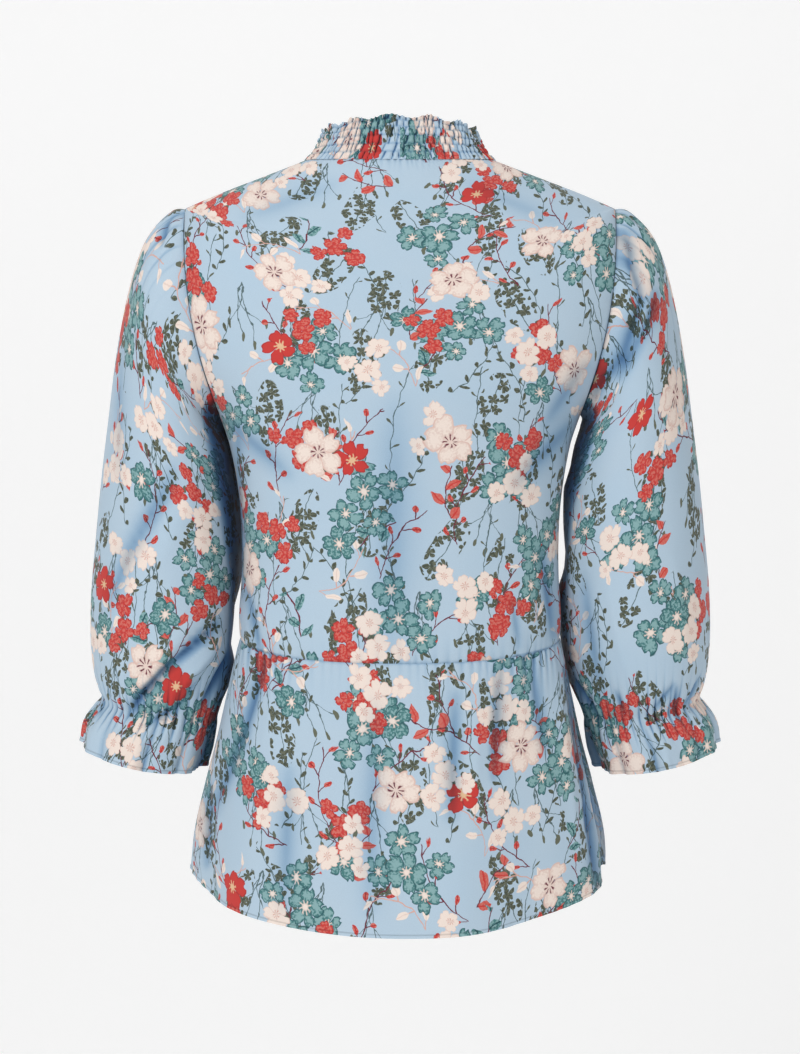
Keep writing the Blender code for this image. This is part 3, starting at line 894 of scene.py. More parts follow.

# %% [markdown]
# Cloth is never quite smooth. Creases are troughs and ridges along short lines that are placed
# one by one, and each has soft flanks and a narrower core, as a fold in crepe has. Gathers are
# waves whose pace and height wander a little, because an elastic never draws up the cloth
# evenly: their crests are round and their valleys sharp.

# %% Creases, gathers and the painted shade where they lie deep
Crease = namedtuple("Crease", "from_across from_up to_across to_up width depth")
CORE_SHARE, CORE_WIDTH = 0.4, 0.4
CREASE_END = 0.14  # of half a wave, which a crease leaves out at each end
# how strong a painted shade is, and the depth in a hollow from which it is full
PaintedShade = namedtuple("PaintedShade", "strength depth")


def creased(across, up, creases):
    """The height that the creases add: each fades out sideways and towards its two ends."""
    total = np.zeros_like(across)
    for crease in creases:
        run = np.array([crease.to_across - crease.from_across, crease.to_up - crease.from_up])
        length = np.linalg.norm(run)
        run /= length
        from_start = across - crease.from_across, up - crease.from_up
        along = from_start[0] * run[0] + from_start[1] * run[1]
        aside = (from_start[1] * run[0] - from_start[0] * run[1]) / crease.width
        share = np.clip(along / length, 0, 1)
        over = np.maximum(np.maximum(-along, along - length), 0)
        fade = np.sin(math.pi * (CREASE_END + (1 - 2 * CREASE_END) * share))
        flanks = (1 - CORE_SHARE) * hump(aside, 0, 1)
        core = CORE_SHARE * hump(aside, 0, CORE_WIDTH)
        total += crease.depth * fade * hump(over, 0, crease.width) * (flanks + core)
    return total


def pleated(wave, sharpness=0.8):
    """A wave from -1 to 1 with round crests and sharp valleys."""
    return 2 * np.abs(np.cos(wave / 2)) ** sharpness - 1


def gathers(turn, count, seed):
    """Uneven waves round a full turn, from -1 to 1."""
    wander = 1.3 * np.sin(3 * turn + seed) + 0.9 * np.sin(8 * turn + 2.3 * seed)
    height = 0.70 + 0.20 * np.sin(5 * turn + 1.7 * seed) + 0.10 * np.sin(13 * turn + seed)
    return height * pleated(count * turn + wander)


def sunk(relief, hollow):
    """The painted shade: 0 on and above the cloth, the full strength from its depth down."""
    return hollow.strength * np.clip(-relief / hollow.depth, 0, 1)


print("a gather reaches", round(float(gathers(np.linspace(0, 6.28, 500), 20, 1.0).max()), 2))

# %% [markdown]
# The last step is the same for every piece: a grid from the Add menu, its points moved onto the
# form, the seam of a tube welded, and a Solidify modifier for the cloth's own thickness. The
# modifier also gives the inner faces the second material, the reverse of the cloth.

# %% Turning a form into a sheet of cloth
CLOTH = 0.0004
WELD = 0.00002
SMOOTH_ANGLE = math.radians(60)


def sew_sheet(name, points, across, up, from_hem, hollow, closed, axis):
    """A finished sheet that rides on the body and stands for its imported wall."""
    rows, columns = points.shape[:2]
    bpy.ops.object.select_all(action="DESELECT")
    bpy.ops.mesh.primitive_grid_add(x_subdivisions=columns - 1, y_subdivisions=rows - 1, size=1)
    sheet = bpy.context.object
    sheet.name = f"{name}_cloth"
    mesh = sheet.data
    place = np.empty(len(mesh.vertices) * 3)
    mesh.vertices.foreach_get("co", place)
    place = place.reshape(-1, 3)
    column = np.rint((place[:, 0] + 0.5) * (columns - 1)).astype(int)
    row = np.rint((place[:, 1] + 0.5) * (rows - 1)).astype(int)
    mesh.vertices.foreach_set("co", points[row, column].ravel())
    corner = np.empty(len(mesh.loops), int)
    mesh.loops.foreach_get("vertex_index", corner)
    flat = np.stack([across[row, column], up[row, column]], axis=1)[corner]
    for layer in list(mesh.uv_layers):
        mesh.uv_layers.remove(layer)
    mesh.uv_layers.new(name="flat_cloth").data.foreach_set("uv", flat.ravel())
    # keeps the distance from the hem and the painted shade of folds and seams as attributes
    for title, values in (("from_hem", from_hem), ("hollow", np.clip(hollow, 0, 1))):
        kept = mesh.attributes.new(title, "FLOAT", "POINT")
        kept.data.foreach_set("value", np.broadcast_to(values, across.shape)[row, column])
    mesh.materials.append(RIGHT_SIDE[name])
    mesh.materials.append(REVERSE[name])
    mesh.update()
    bpy.ops.object.mode_set(mode="EDIT")
    bpy.ops.mesh.select_all(action="SELECT")
    if closed:
        bpy.ops.mesh.remove_doubles(threshold=WELD)
    _, winding = grid_normals(points, closed, axis)
    if winding < 0:
        bpy.ops.mesh.flip_normals()
    bpy.ops.object.mode_set(mode="OBJECT")
    wall = sheet.modifiers.new("thickness", "SOLIDIFY")
    wall.thickness = CLOTH
    wall.offset = -1
    wall.material_offset = 1
    bpy.ops.object.modifier_apply(modifier=wall.name)
    bpy.ops.object.shade_smooth_by_angle(angle=SMOOTH_ANGLE)
    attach(sheet, "root")
    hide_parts(name)


print("sheet maker ready")

# %% [markdown]
# ## The bodice
#
# The back is one piece with no darts. Its rows are arcs from side to side: closed rings from
# the waist seam to the underarm, then rows that end on the armhole, then rows that end on the
# shoulder seam. The front has the same sides and a lower neck. Nothing shows it, so it is plain.

# %% Sections of the bodice
SHOULDER_X, SHOULDER_Z = 0.178, -0.0365
UNDERARM_X, UNDERARM_Z = 0.150, -0.206
ARMHOLE_HALF_DEPTH = 0.058
ARMHOLE_BOW = 2.3
SQUARENESS = 0.9

Ring = namedtuple("Ring", "side_x side_z back_y back_z front_y front_z roundness")
BODICE_RINGS = rows_of(
    Ring,
    (0.1325, -0.391, 0.086, -0.411, -0.098, -0.393, 1),
    (0.1335, -0.372, 0.088, -0.391, -0.101, -0.374, 1),
    (0.1315, -0.336, 0.084, -0.350, -0.101, -0.339, 1),
    (0.1320, -0.296, 0.085, -0.309, -0.105, -0.302, 1),
    (0.1355, -0.262, 0.089, -0.276, -0.112, -0.270, 1),
    (0.1415, -0.231, 0.094, -0.245, -0.118, -0.241, 1),
)
ArmholeRow = namedtuple("ArmholeRow", "back_y back_z front_y front_z turn roundness")
ARMHOLE_ROWS = rows_of(
    ArmholeRow,
    (0.099, -0.215, -0.121, -0.211, 90, 1.0),
    (0.102, -0.190, -0.119, -0.184, 78, 1.1),
    (0.103, -0.163, -0.113, -0.154, 68, 1.2),
    (0.103, -0.135, -0.105, -0.125, 64, 1.4),
    (0.100, -0.109, -0.096, -0.101, 70, 1.6),
    (0.093, -0.086, -0.087, -0.084, 80, 1.8),
    (0.085, -0.066, -0.079, -0.073, 90, 2.0),
)
SHOULDER_ROWS = rows_of(
    Ring,
    (0.1480, -0.0235, 0.075, -0.046, -0.071, -0.064, 2),
    (0.1130, -0.0100, 0.065, -0.025, -0.065, -0.057, 2),
    (0.0790, 0.0030, 0.055, 0.000, -0.060, -0.050, 2),
)
FIRST_ARMHOLE = len(BODICE_RINGS)
LAST_ARMHOLE = FIRST_ARMHOLE + len(ARMHOLE_ROWS) - 1
print("bodice rows:", LAST_ARMHOLE + 1 + len(SHOULDER_ROWS))


# %% Form of a bodice panel
def armhole_point(turn):
    """Points of the armhole: 0 at the shoulder, pi at the underarm."""
    up = (1 + np.cos(turn)) / 2
    bowed = 1 - (1 - up) ** ARMHOLE_BOW
    return (
        UNDERARM_X + (SHOULDER_X - UNDERARM_X) * bowed,
        ARMHOLE_HALF_DEPTH * np.sin(turn),
        UNDERARM_Z + (SHOULDER_Z - UNDERARM_Z) * up,
    )


def bodice_sides(places):
    """Where each row ends at the side: along the side seam, the armhole, the shoulder seam."""
    steps = np.clip(places - FIRST_ARMHOLE, 0, len(ARMHOLE_ROWS) - 1)
    x, y, z = armhole_point(math.pi * (1 - steps / (len(ARMHOLE_ROWS) - 1)))
    underarm, tip = (UNDERARM_X, UNDERARM_Z), (SHOULDER_X, SHOULDER_Z)
    low = smooth([ring[:2] for ring in BODICE_RINGS] + [underarm], places)
    high = smooth([tip] + [ring[:2] for ring in SHOULDER_ROWS], places - LAST_ARMHOLE)
    below, above = places < FIRST_ARMHOLE, places > LAST_ARMHOLE
    x = np.where(below, low[:, 0], np.where(above, high[:, 0], x))
    z = np.where(below, low[:, 1], np.where(above, high[:, 1], z))
    y = np.where(below | above, 0, y)
    return x[:, None], y[:, None], z[:, None]


def row_points(sides, middle_y, middle_z, turn, roundness, facing, shares):
    """A loft's rows, each an arc from one side over the middle to the other."""
    side_x, side_y, side_z = sides
    turn = np.radians(turn)
    angle = np.abs(shares)[None, :] * turn
    wide = (np.sin(angle) / np.sin(turn)) ** SQUARENESS
    inward = np.clip((np.cos(angle) - np.cos(turn)) / (1 - np.cos(turn)), 0, 1) ** SQUARENESS
    x = np.sign(shares)[None, :] * side_x * wide
    y = facing * side_y + (middle_y - facing * side_y) * inward
    z = side_z + (middle_z - side_z) * inward**roundness
    return np.stack([x, y, z], axis=2)


def bodice_form(facing, places, shares):
    """The points of a bodice panel: facing is 1 for the back and -1 for the front."""
    table = [ring[2:6] + (90, ring.roundness) for ring in BODICE_RINGS]
    table += [tuple(row) for row in ARMHOLE_ROWS]
    table += [ring[2:6] + (90, ring.roundness) for ring in SHOULDER_ROWS]
    rows = columns_of(ArmholeRow, table, places)
    middle = (rows.back_y, rows.back_z) if facing > 0 else (rows.front_y, rows.front_z)
    return row_points(bodice_sides(places), *middle, rows.turn, rows.roundness, facing, shares)


print("back at the waist:", bodice_form(1, np.array([0.0]), np.array([0.0])).round(3).tolist())

# %% [markdown]
# The waist seam draws the bodice in slightly and puckers it, and a seam at each side pulls a
# shallow groove. The few long creases are where the cloth drags from the underarm to the waist.
# At a seam the bodice's edge is tucked a little way under its neighbour, as a seam allowance
# is, so that no light shows between the two.

# %% Creases of the bodice, placed as seen from behind
BODICE_CREASES = rows_of(
    Crease,
    (0.134, -0.222, 0.130, -0.355, 0.0060, -0.0010),
    (0.126, -0.352, 0.115, -0.400, 0.0045, -0.0013),
    (0.113, -0.362, 0.106, -0.400, 0.0045, 0.0009),
    (-0.117, -0.322, -0.126, -0.388, 0.0055, -0.0015),
    (-0.105, -0.352, -0.113, -0.390, 0.0050, 0.0010),
    (-0.092, -0.362, -0.097, -0.396, 0.0040, -0.0008),
    (-0.142, -0.215, -0.098, -0.262, 0.0100, -0.0012),
    (0.140, -0.215, 0.094, -0.255, 0.0090, -0.0009),
    (-0.150, -0.170, -0.120, -0.215, 0.0080, -0.0010),
    (0.004, -0.215, 0.006, -0.380, 0.0200, -0.0006),
    (0.058, -0.022, 0.122, -0.046, 0.0100, -0.0004),
    (-0.060, -0.022, -0.125, -0.050, 0.0100, -0.0004),
    (0.045, -0.340, 0.052, -0.398, 0.0060, 0.0005),
    (-0.050, -0.345, -0.046, -0.398, 0.0060, 0.0005),
)
SEAM_SINK, SEAM_WIDTH = 0.0008, 0.0020
SIDE_PUCKERS, SIDE_SPREAD = 0.118, 0.022  # how far from the middle the waist puckers most
Pucker = namedtuple("Pucker", "pace height reach")
WAIST_PUCKER, NECK_PUCKER = Pucker(0.0086, 0.0007, 0.009), Pucker(0.0042, 0.0005, 0.005)
# painted shade in the drag creases and the waist puckers: its strength and full depth
DRAG_SHADE, PUCKER_SHADE = PaintedShade(0.55, 0.0020), PaintedShade(0.40, 0.0012)
DRAWN_IN, DRAWN_SPREAD = -0.365, 0.035  # height and spread of the shadow above the waist
TUCK_OUT, TUCK_IN = 0.0018, 0.0006
EDGES = {
    "bottom": (np.s_[0, :], np.s_[1, :]),
    "top": (np.s_[-1, :], np.s_[-2, :]),
    "start": (np.s_[:, 0], np.s_[:, 1]),
    "end": (np.s_[:, -1], np.s_[:, -2]),
}


def seam_groove(distance, share=1.0):
    """How far the cloth sinks towards a seam at this distance."""
    return -SEAM_SINK * hump(distance, 0, SEAM_WIDTH) * share


def seam_shade(distance, strength, width=0.0011):
    """The painted shadow along a seam."""
    return strength * hump(distance, 0, width)


def puckered(across, distance, pucker, seed):
    """Small uneven waves that fade away from a seam."""
    paces = across / pucker.pace
    wander = 1.1 * np.sin(0.9 * paces + seed) + 0.8 * np.sin(0.37 * paces + 2 * seed)
    height = pucker.height * (0.6 + 0.4 * np.sin(0.23 * paces + 3 * seed))
    return height * np.cos(math.tau * paces + 2 * wander) * np.exp(-distance / pucker.reach)


def near_sides(across):
    """How strong the waist puckers are: the most towards the sides."""
    return 0.45 + 1.3 * hump(np.abs(across), SIDE_PUCKERS, SIDE_SPREAD)


def tucked(points, axis, edges, weight=1.0):
    """The grid with the named edges drawn out a little and sunk, under the next sheet."""
    normals, _ = grid_normals(points, False, axis)
    moved = points.copy()
    for edge, inner in (EDGES[name] for name in edges):
        run = points[edge] - points[inner]
        run /= np.maximum(np.linalg.norm(run, axis=-1, keepdims=True), 1e-9)
        moved[edge] += weight * (run * TUCK_OUT - normals[inner] * TUCK_IN)
    return moved


def make_bodice(name, facing, size, seed):
    shares = np.linspace(-1, 1, size)
    places = np.linspace(0, LAST_ARMHOLE + len(SHOULDER_ROWS), size)
    points = bodice_form(facing, places, shares)
    across, up = cloth_lengths(points)
    from_side = np.minimum(across - across[:, :1], across[:, -1:] - across)
    from_neck = up.max() - up
    drags = creased(points[..., 0] * facing, points[..., 2], BODICE_CREASES)
    at_sides = near_sides(across)
    puckers = at_sides * puckered(across, up, WAIST_PUCKER, seed)
    puckers += puckered(across, from_neck, NECK_PUCKER, seed)
    seams = seam_groove(up, 0.6) + seam_groove(from_side, 0.5) + seam_groove(from_neck, 0.3)
    relief = drags + puckers + seams
    axis = points * [0, 0, 1]
    formed = raised(points, relief, False, axis)
    at_armhole = ((places >= FIRST_ARMHOLE) & (places <= LAST_ARMHOLE))[:, None]
    formed = tucked(formed, axis, ["bottom", "top"])
    formed = tucked(formed, axis, ["start", "end"], 1.0 if facing > 0 else at_armhole)
    deep = np.clip((SHOULDER_Z - points[..., 2]) / (SHOULDER_Z - UNDERARM_Z), 0, 1)
    # painted shade in the creases and puckers, along the seams, and at the sides above the waist
    hollow = sunk(drags, DRAG_SHADE) + sunk(puckers, PUCKER_SHADE)
    hollow += seam_shade(up, 0.10) + seam_shade(up, 0.25) * np.clip(at_sides - 0.6, 0, 1)
    hollow += seam_shade(from_side, 1.0, 0.0016) * (0.02 + 0.6 * deep**2)
    hollow += seam_shade(from_side, 0.5, 0.0070) * hump(points[..., 2], DRAWN_IN, DRAWN_SPREAD)
    sew_sheet(name, formed, across, up, 1.0, hollow, False, axis)


make_bodice("bodice_back", 1, 171, 0.7)
make_bodice("bodice_front", -1, 111, 2.9)

# %% [markdown]
# ## The peplum
#
# The peplum is cut wider at the hem than at the waist, so it falls into soft flutes that grow
# from nothing at the seam. Its hem is rounded: it rises towards the side seams, and each side of
# the back drops a little in its own way. At the sides the back hangs in sharper folds, where the
# wearer's hip ends. The front's flutes close in again at the hem, and on the right they show
# past the back, in a painted shadow.

# %% Sections and flutes of the peplum
PEPLUM_RINGS = rows_of(
    Ring,
    (0.1325, -0.391, 0.086, -0.411, -0.098, -0.393, 1),
    (0.1375, -0.411, 0.092, -0.435, -0.103, -0.413, 1),
    (0.1440, -0.441, 0.102, -0.472, -0.109, -0.446, 1),
    (0.1515, -0.476, 0.112, -0.512, -0.115, -0.484, 1.1),
    (0.1610, -0.514, 0.122, -0.554, -0.121, -0.524, 1.2),
    (0.1685, -0.550, 0.131, -0.593, -0.127, -0.562, 1.35),
    (0.1710, -0.581, 0.137, -0.629, -0.131, -0.598, 1.5),
)
HemDrop = namedtuple("HemDrop", "share spread depth")
HEM_DROPS = rows_of(HemDrop, (0.72, 0.16, 0.005), (-1.0, 0.17, 0.009))
Flute = namedtuple("Flute", "angle spread depth")
PEPLUM_FLUTES = rows_of(
    Flute,
    (-152, 12, 0.00625),
    (-128, 10, -0.00625),
    (-104, 9, 0.00750),
    (-87, 8, -0.00875),
    (-62, 11, 0.00500),
    (-36, 10, -0.00500),
    (-13, 9, 0.00500),
    (14, 12, -0.00375),
    (42, 11, 0.00500),
    (66, 9, -0.00500),
    (92, 12, 0.00250),
    (118, 10, -0.00500),
    (146, 12, 0.00625),
    (174, 10, -0.00375),
)
PEPLUM_CREASES = rows_of(
    Crease,
    (-0.1365, -0.418, -0.1555, -0.545, 0.0040, -0.0036),
    (-0.1270, -0.416, -0.1450, -0.560, 0.0070, 0.0026),
    (-0.1530, -0.530, -0.1615, -0.592, 0.0050, -0.0034),
    (-0.1080, -0.412, -0.1180, -0.480, 0.0060, -0.0018),
    (-0.0810, -0.420, -0.0760, -0.500, 0.0070, -0.0022),
    (-0.0640, -0.430, -0.0600, -0.540, 0.0090, 0.0014),
    (-0.0450, -0.440, -0.0420, -0.530, 0.0080, -0.0018),
    (0.1120, -0.413, 0.1300, -0.475, 0.0055, -0.0028),
    (0.1290, -0.470, 0.1520, -0.530, 0.0070, -0.0020),
    (0.1000, -0.412, 0.1090, -0.470, 0.0060, 0.0016),
    (0.1570, -0.515, 0.1585, -0.575, 0.0050, -0.0022),
    (0.0900, -0.500, 0.0930, -0.600, 0.0100, -0.0012),
    (0.0200, -0.450, 0.0240, -0.600, 0.0120, -0.0009),
)


def peplum_form(facing, places, shares):
    """The points of a peplum panel, flutes and all."""
    rings = columns_of(Ring, PEPLUM_RINGS, places)
    middle = (rings.back_y, rings.back_z) if facing > 0 else (rings.front_y, rings.front_z)
    sides = (rings.side_x, 0 * rings.side_x, rings.side_z)
    points = row_points(sides, *middle, 90 + 0 * rings.side_x, rings.roundness, facing, shares)
    down = (places / (len(PEPLUM_RINGS) - 1))[:, None]
    angle = 90 * shares if facing > 0 else np.sign(shares + 1e-9) * (180 - 90 * np.abs(shares))
    for drop in HEM_DROPS if facing > 0 else []:
        points[..., 2] -= drop.depth * down**3 * hump(shares, drop.share, drop.spread)
    height = np.zeros_like(shares)
    for flute in PEPLUM_FLUTES:
        away = (angle - flute.angle + 180) % 360 - 180
        height += flute.depth * hump(away, 0, flute.spread)
    level = points * [1, 1, 0]
    level /= np.linalg.norm(level, axis=2, keepdims=True)
    growth = down**1.5 * (1 if facing > 0 else 1 - 0.5 * down**12)
    return points + level * (height[None, :] * growth)[..., None]


print("hem at the back:", peplum_form(1, np.array([6.0]), np.array([0.0])).round(3).tolist())

# %% Sewing the peplum
HEM_RISE, HEM_EDGE = 0.00025, 0.0006
PEPLUM_PUCKER, HEM_PUCKER = Pucker(0.0086, 0.0011, 0.013), Pucker(0.017, 0.0006, 0.006)
# painted shade in the peplum's folds and waist puckers: its strength and full depth
PEPLUM_FOLD_SHADE, WAIST_SHADE = PaintedShade(0.60, 0.0034), PaintedShade(0.45, 0.0014)
PAST_BACK, PAST_SPREAD = -0.90, 0.14  # the part of the front that shows past the back


def rolled_hem(from_hem):
    """The rolled hem stands out by its double cloth."""
    return HEM_RISE * (1 - np.tanh((from_hem - HEM_WIDTH) / HEM_EDGE))


def make_peplum(name, facing, rows, columns, seed):
    shares = np.linspace(-1, 1, columns)
    places = np.linspace(0, len(PEPLUM_RINGS) - 1, rows)
    points = peplum_form(facing, places, shares)
    across, down = cloth_lengths(points)
    up = down.max() - down
    from_side = np.minimum(across - across[:, :1], across[:, -1:] - across)
    folds = creased(points[..., 0] * facing, points[..., 2], PEPLUM_CREASES)
    at_sides = near_sides(across)
    puckers = at_sides * puckered(across, down, PEPLUM_PUCKER, seed)
    relief = folds + puckers + seam_groove(down, 0.6) + seam_groove(from_side) + rolled_hem(up)
    relief += puckered(across, up, HEM_PUCKER, seed)
    axis = points * [0, 0, 1]
    formed = raised(points, relief, False, axis)
    if facing > 0:
        formed = tucked(formed, axis, ["start", "end"])
    # painted shade in the folds and puckers and along the seams
    hollow = sunk(folds, PEPLUM_FOLD_SHADE) + sunk(puckers, WAIST_SHADE) + seam_shade(down, 0.12)
    hollow += seam_shade(from_side, 0.3)
    # painted shadow on the front where it shows past the back
    if facing < 0:
        hollow += 0.45 * hump(shares, PAST_BACK, PAST_SPREAD) * (down / down.max()) ** 0.5
    sew_sheet(name, formed, across, up, up, hollow, False, axis)


make_peplum("peplum_back", 1, 120, 221, 1.3)
make_peplum("peplum_front", -1, 81, 161, 4.1)

# %% [markdown]
# ## The sleeves
#
# A sleeve is one tube. It is gathered into the armhole over the shoulder, full down to below
# the elbow, drawn in by an elastic, and flared below it into a frill. Each row of the table is
# a ring: its outer and inner point in the front view, its depth, and how much of each kind of
# gather it has. The ring at the armhole follows the armhole's own curve.

# %% Sections of the sleeves
SleeveRing = namedtuple(
    "SleeveRing",
    "outer_x outer_z inner_x inner_z half_depth middle_y dip bow head gather flute swing",
)
SLEEVE_RINGS = rows_of(
    SleeveRing,
    (SHOULDER_X, SHOULDER_Z, UNDERARM_X, UNDERARM_Z, ARMHOLE_HALF_DEPTH, 0, 0, 1, 0, 0, 0, 0),
    (0.187, -0.0385, 0.1530, -0.2095, 0.0600, -0.001, 0, 1.0, 0.0020, 0, 0, 0),
    (0.198, -0.0475, 0.1540, -0.2130, 0.0615, -0.002, 0, 0.9, 0.0022, 0, 0, 0.02),
    (0.208, -0.0590, 0.1535, -0.2170, 0.0625, -0.003, 0, 0.8, 0.0018, 0, 0, 0.05),
    (0.216, -0.0750, 0.1520, -0.2220, 0.0630, -0.004, 0, 0.7, 0.0013, 0, 0, 0.10),
    (0.223, -0.0960, 0.1490, -0.2290, 0.0630, -0.005, 0, 0.55, 0.0008, 0, 0, 0.20),
    (0.230, -0.1250, 0.1455, -0.2390, 0.0630, -0.007, 0, 0.4, 0.0004, 0, 0, 0.35),
    (0.237, -0.1630, 0.1420, -0.2540, 0.0630, -0.009, 0.001, 0.25, 0, 0, 0, 0.60),
    (0.243, -0.2090, 0.1385, -0.2740, 0.0630, -0.012, 0.002, 0.1, 0, 0, 0, 0.85),
    (0.249, -0.2570, 0.1355, -0.3010, 0.0635, -0.015, 0.003, 0, 0, 0, 0, 1.00),
    (0.254, -0.3070, 0.1345, -0.3330, 0.0640, -0.018, 0.005, 0, 0, 0, 0, 1.00),
    (0.258, -0.3510, 0.1345, -0.3660, 0.0650, -0.021, 0.006, 0, 0, 0, 0, 0.95),
    (0.259, -0.3890, 0.1370, -0.3970, 0.0650, -0.024, 0.007, 0, 0, 0, 0, 0.85),
    (0.257, -0.4150, 0.1420, -0.4230, 0.0610, -0.026, 0.008, 0, 0, 0.0002, 0, 0.75),
    (0.253, -0.4315, 0.1480, -0.4430, 0.0540, -0.028, 0.009, 0, 0, 0.0011, 0, 0.65),
    (0.249, -0.4420, 0.1535, -0.4570, 0.0470, -0.029, 0.009, 0, 0, 0.0020, 0, 0.60),
    (0.255, -0.4500, 0.1545, -0.4665, 0.0490, -0.030, 0.011, 0, 0, 0.0011, 0.0014, 0.60),
    (0.263, -0.4635, 0.1580, -0.4820, 0.0520, -0.031, 0.012, 0, 0, 0, 0.0036, 0.60),
    (0.265, -0.4800, 0.1640, -0.4980, 0.0550, -0.032, 0.013, 0, 0, 0, 0.0045, 0.60),
)
SLEEVE_WIDTH = 0.42  # of the flat piece
print("sleeve rings:", len(SLEEVE_RINGS))

# %% [markdown]
# The lower sleeve hangs in a few deep slanting folds that run from the elastic up towards the
# body, and the sleeve's head drags in short pleats. Places on the sleeve are metres round from
# its outer line, towards the back, and heights above the frame's origin. The two sleeves hang
# unlike, so each has its own folds, and both have the same plain ones on the hidden front.

# %% Creases of the sleeves
HIDDEN_FOLDS = rows_of(
    Crease,
    (-0.070, -0.448, -0.112, -0.408, 0.0060, -0.0032),
    (-0.095, -0.452, -0.150, -0.395, 0.0080, 0.0022),
    (-0.125, -0.450, -0.165, -0.405, 0.0060, -0.0030),
    (-0.060, -0.360, -0.105, -0.270, 0.0110, -0.0016),
    (-0.022, -0.044, -0.050, -0.074, 0.0035, -0.0018),
)
SLEEVE_CREASES = {
    "sleeve_left": HIDDEN_FOLDS + rows_of(
        Crease,
        (0.076, -0.452, 0.113, -0.415, 0.0058, -0.0062),
        (0.109, -0.418, 0.162, -0.381, 0.0064, -0.0048),
        (0.092, -0.430, 0.128, -0.388, 0.0095, 0.0034),
        (0.118, -0.440, 0.162, -0.400, 0.0095, 0.0040),
        (0.098, -0.463, 0.129, -0.447, 0.0045, -0.0028),
        (0.127, -0.449, 0.151, -0.420, 0.0050, -0.0020),
        (0.160, -0.443, 0.181, -0.411, 0.0062, -0.0060),
        (0.008, -0.436, 0.034, -0.456, 0.0045, -0.0022),
        (0.020, -0.041, 0.053, -0.070, 0.0030, -0.0026),
        (0.036, -0.046, 0.066, -0.082, 0.0040, 0.0014),
        (-0.006, -0.036, -0.004, -0.062, 0.0030, -0.0014),
        (0.112, -0.260, 0.074, -0.317, 0.0110, -0.0019),
        (0.074, -0.317, 0.054, -0.360, 0.0100, -0.0015),
        (0.134, -0.268, 0.092, -0.345, 0.0120, 0.0016),
        (0.040, -0.160, 0.050, -0.250, 0.0130, -0.0009),
    ),
    "sleeve_right": HIDDEN_FOLDS + rows_of(
        Crease,
        (0.068, -0.113, 0.108, -0.146, 0.0085, -0.0032),
        (0.104, -0.142, 0.136, -0.174, 0.0085, -0.0030),
        (0.086, -0.122, 0.122, -0.158, 0.0070, 0.0020),
        (0.046, -0.056, 0.074, -0.088, 0.0032, -0.0026),
        (0.070, -0.082, 0.090, -0.118, 0.0036, -0.0026),
        (0.087, -0.113, 0.131, -0.164, 0.0036, -0.0026),
        (0.130, -0.163, 0.170, -0.194, 0.0040, -0.0026),
        (0.069, -0.436, 0.067, -0.458, 0.0040, -0.0034),
        (0.036, -0.427, 0.049, -0.448, 0.0042, -0.0030),
        (0.092, -0.450, 0.074, -0.432, 0.0040, -0.0022),
        (0.168, -0.445, 0.163, -0.462, 0.0035, -0.0026),
        (0.132, -0.438, 0.126, -0.454, 0.0035, -0.0024),
        (0.190, -0.427, 0.163, -0.455, 0.0055, -0.0040),
        (0.120, -0.420, 0.132, -0.360, 0.0100, 0.0018),
        (0.150, -0.430, 0.158, -0.350, 0.0100, -0.0016),
        (0.060, -0.410, 0.070, -0.330, 0.0120, 0.0016),
    ),
}
Arm = namedtuple("Arm", "side forward")
ARMS = {"sleeve_left": Arm(1, 0.008), "sleeve_right": Arm(-1, 0.0)}
HEAD_GATHERS, CUFF_GATHERS, FRILL_FLUTES = 26, 44, 10
SLEEVE_COLUMNS = 352
SLEEVE_PLACES = np.concatenate([
    np.linspace(0, 5, 30, endpoint=False),
    np.linspace(5, 12, 36, endpoint=False),
    np.linspace(12, 18, 73),
])

# %% [markdown]
# Where a sleeve hangs beside the body, its inner side gets a deep painted shadow, and the front of
# the sleeve swells in behind the body, so that little light comes through between them. This
# table says for a few heights how far the inner front swells, how far the inner line itself
# moves towards the body, how dark the painted shadow is, and how far round it reaches, in radians.

# %% How each sleeve lies beside the body, and its painted shadow
Beside = namedtuple("Beside", "height swell inward shadow reach")
BESIDE = {
    "sleeve_left": rows_of(
        Beside,
        (-0.150, 0.0000, 0.0000, 0.00, 0.40),
        (-0.190, 0.0040, 0.0004, 0.60, 0.55),
        (-0.206, 0.0100, 0.0020, 0.90, 0.70),
        (-0.220, 0.0105, 0.0020, 0.97, 0.78),
        (-0.270, 0.0110, 0.0000, 1.00, 0.82),
        (-0.315, 0.0100, 0.0000, 0.97, 0.68),
        (-0.348, 0.0050, -0.0010, 0.80, 0.52),
        (-0.366, 0.0000, -0.0040, 0.60, 0.50),
        (-0.398, 0.0000, -0.0045, 0.60, 0.50),
        (-0.412, 0.0000, 0.0010, 0.60, 0.55),
        (-0.430, 0.0000, 0.0015, 0.55, 0.60),
        (-0.445, 0.0000, -0.0010, 0.45, 0.60),
        (-0.500, 0.0000, 0.0000, 0.40, 0.60),
    ),
    "sleeve_right": rows_of(
        Beside,
        (-0.150, 0.0000, 0.0000, 0.00, 0.40),
        (-0.185, 0.0010, 0.0000, 0.55, 0.50),
        (-0.215, 0.0060, 0.0010, 0.95, 0.76),
        (-0.232, 0.0045, 0.0010, 0.97, 0.78),
        (-0.250, 0.0020, 0.0006, 0.92, 0.72),
        (-0.268, 0.0055, 0.0012, 0.85, 0.64),
        (-0.284, 0.0030, 0.0004, 0.66, 0.56),
        (-0.322, 0.0000, -0.0034, 0.40, 0.48),
        (-0.336, 0.0000, -0.0024, 0.34, 0.48),
        (-0.352, 0.0060, 0.0008, 0.32, 0.48),
        (-0.430, 0.0050, 0.0012, 0.30, 0.50),
        (-0.450, 0.0000, -0.0010, 0.25, 0.55),
        (-0.500, 0.0000, 0.0000, 0.20, 0.55),
    ),
}


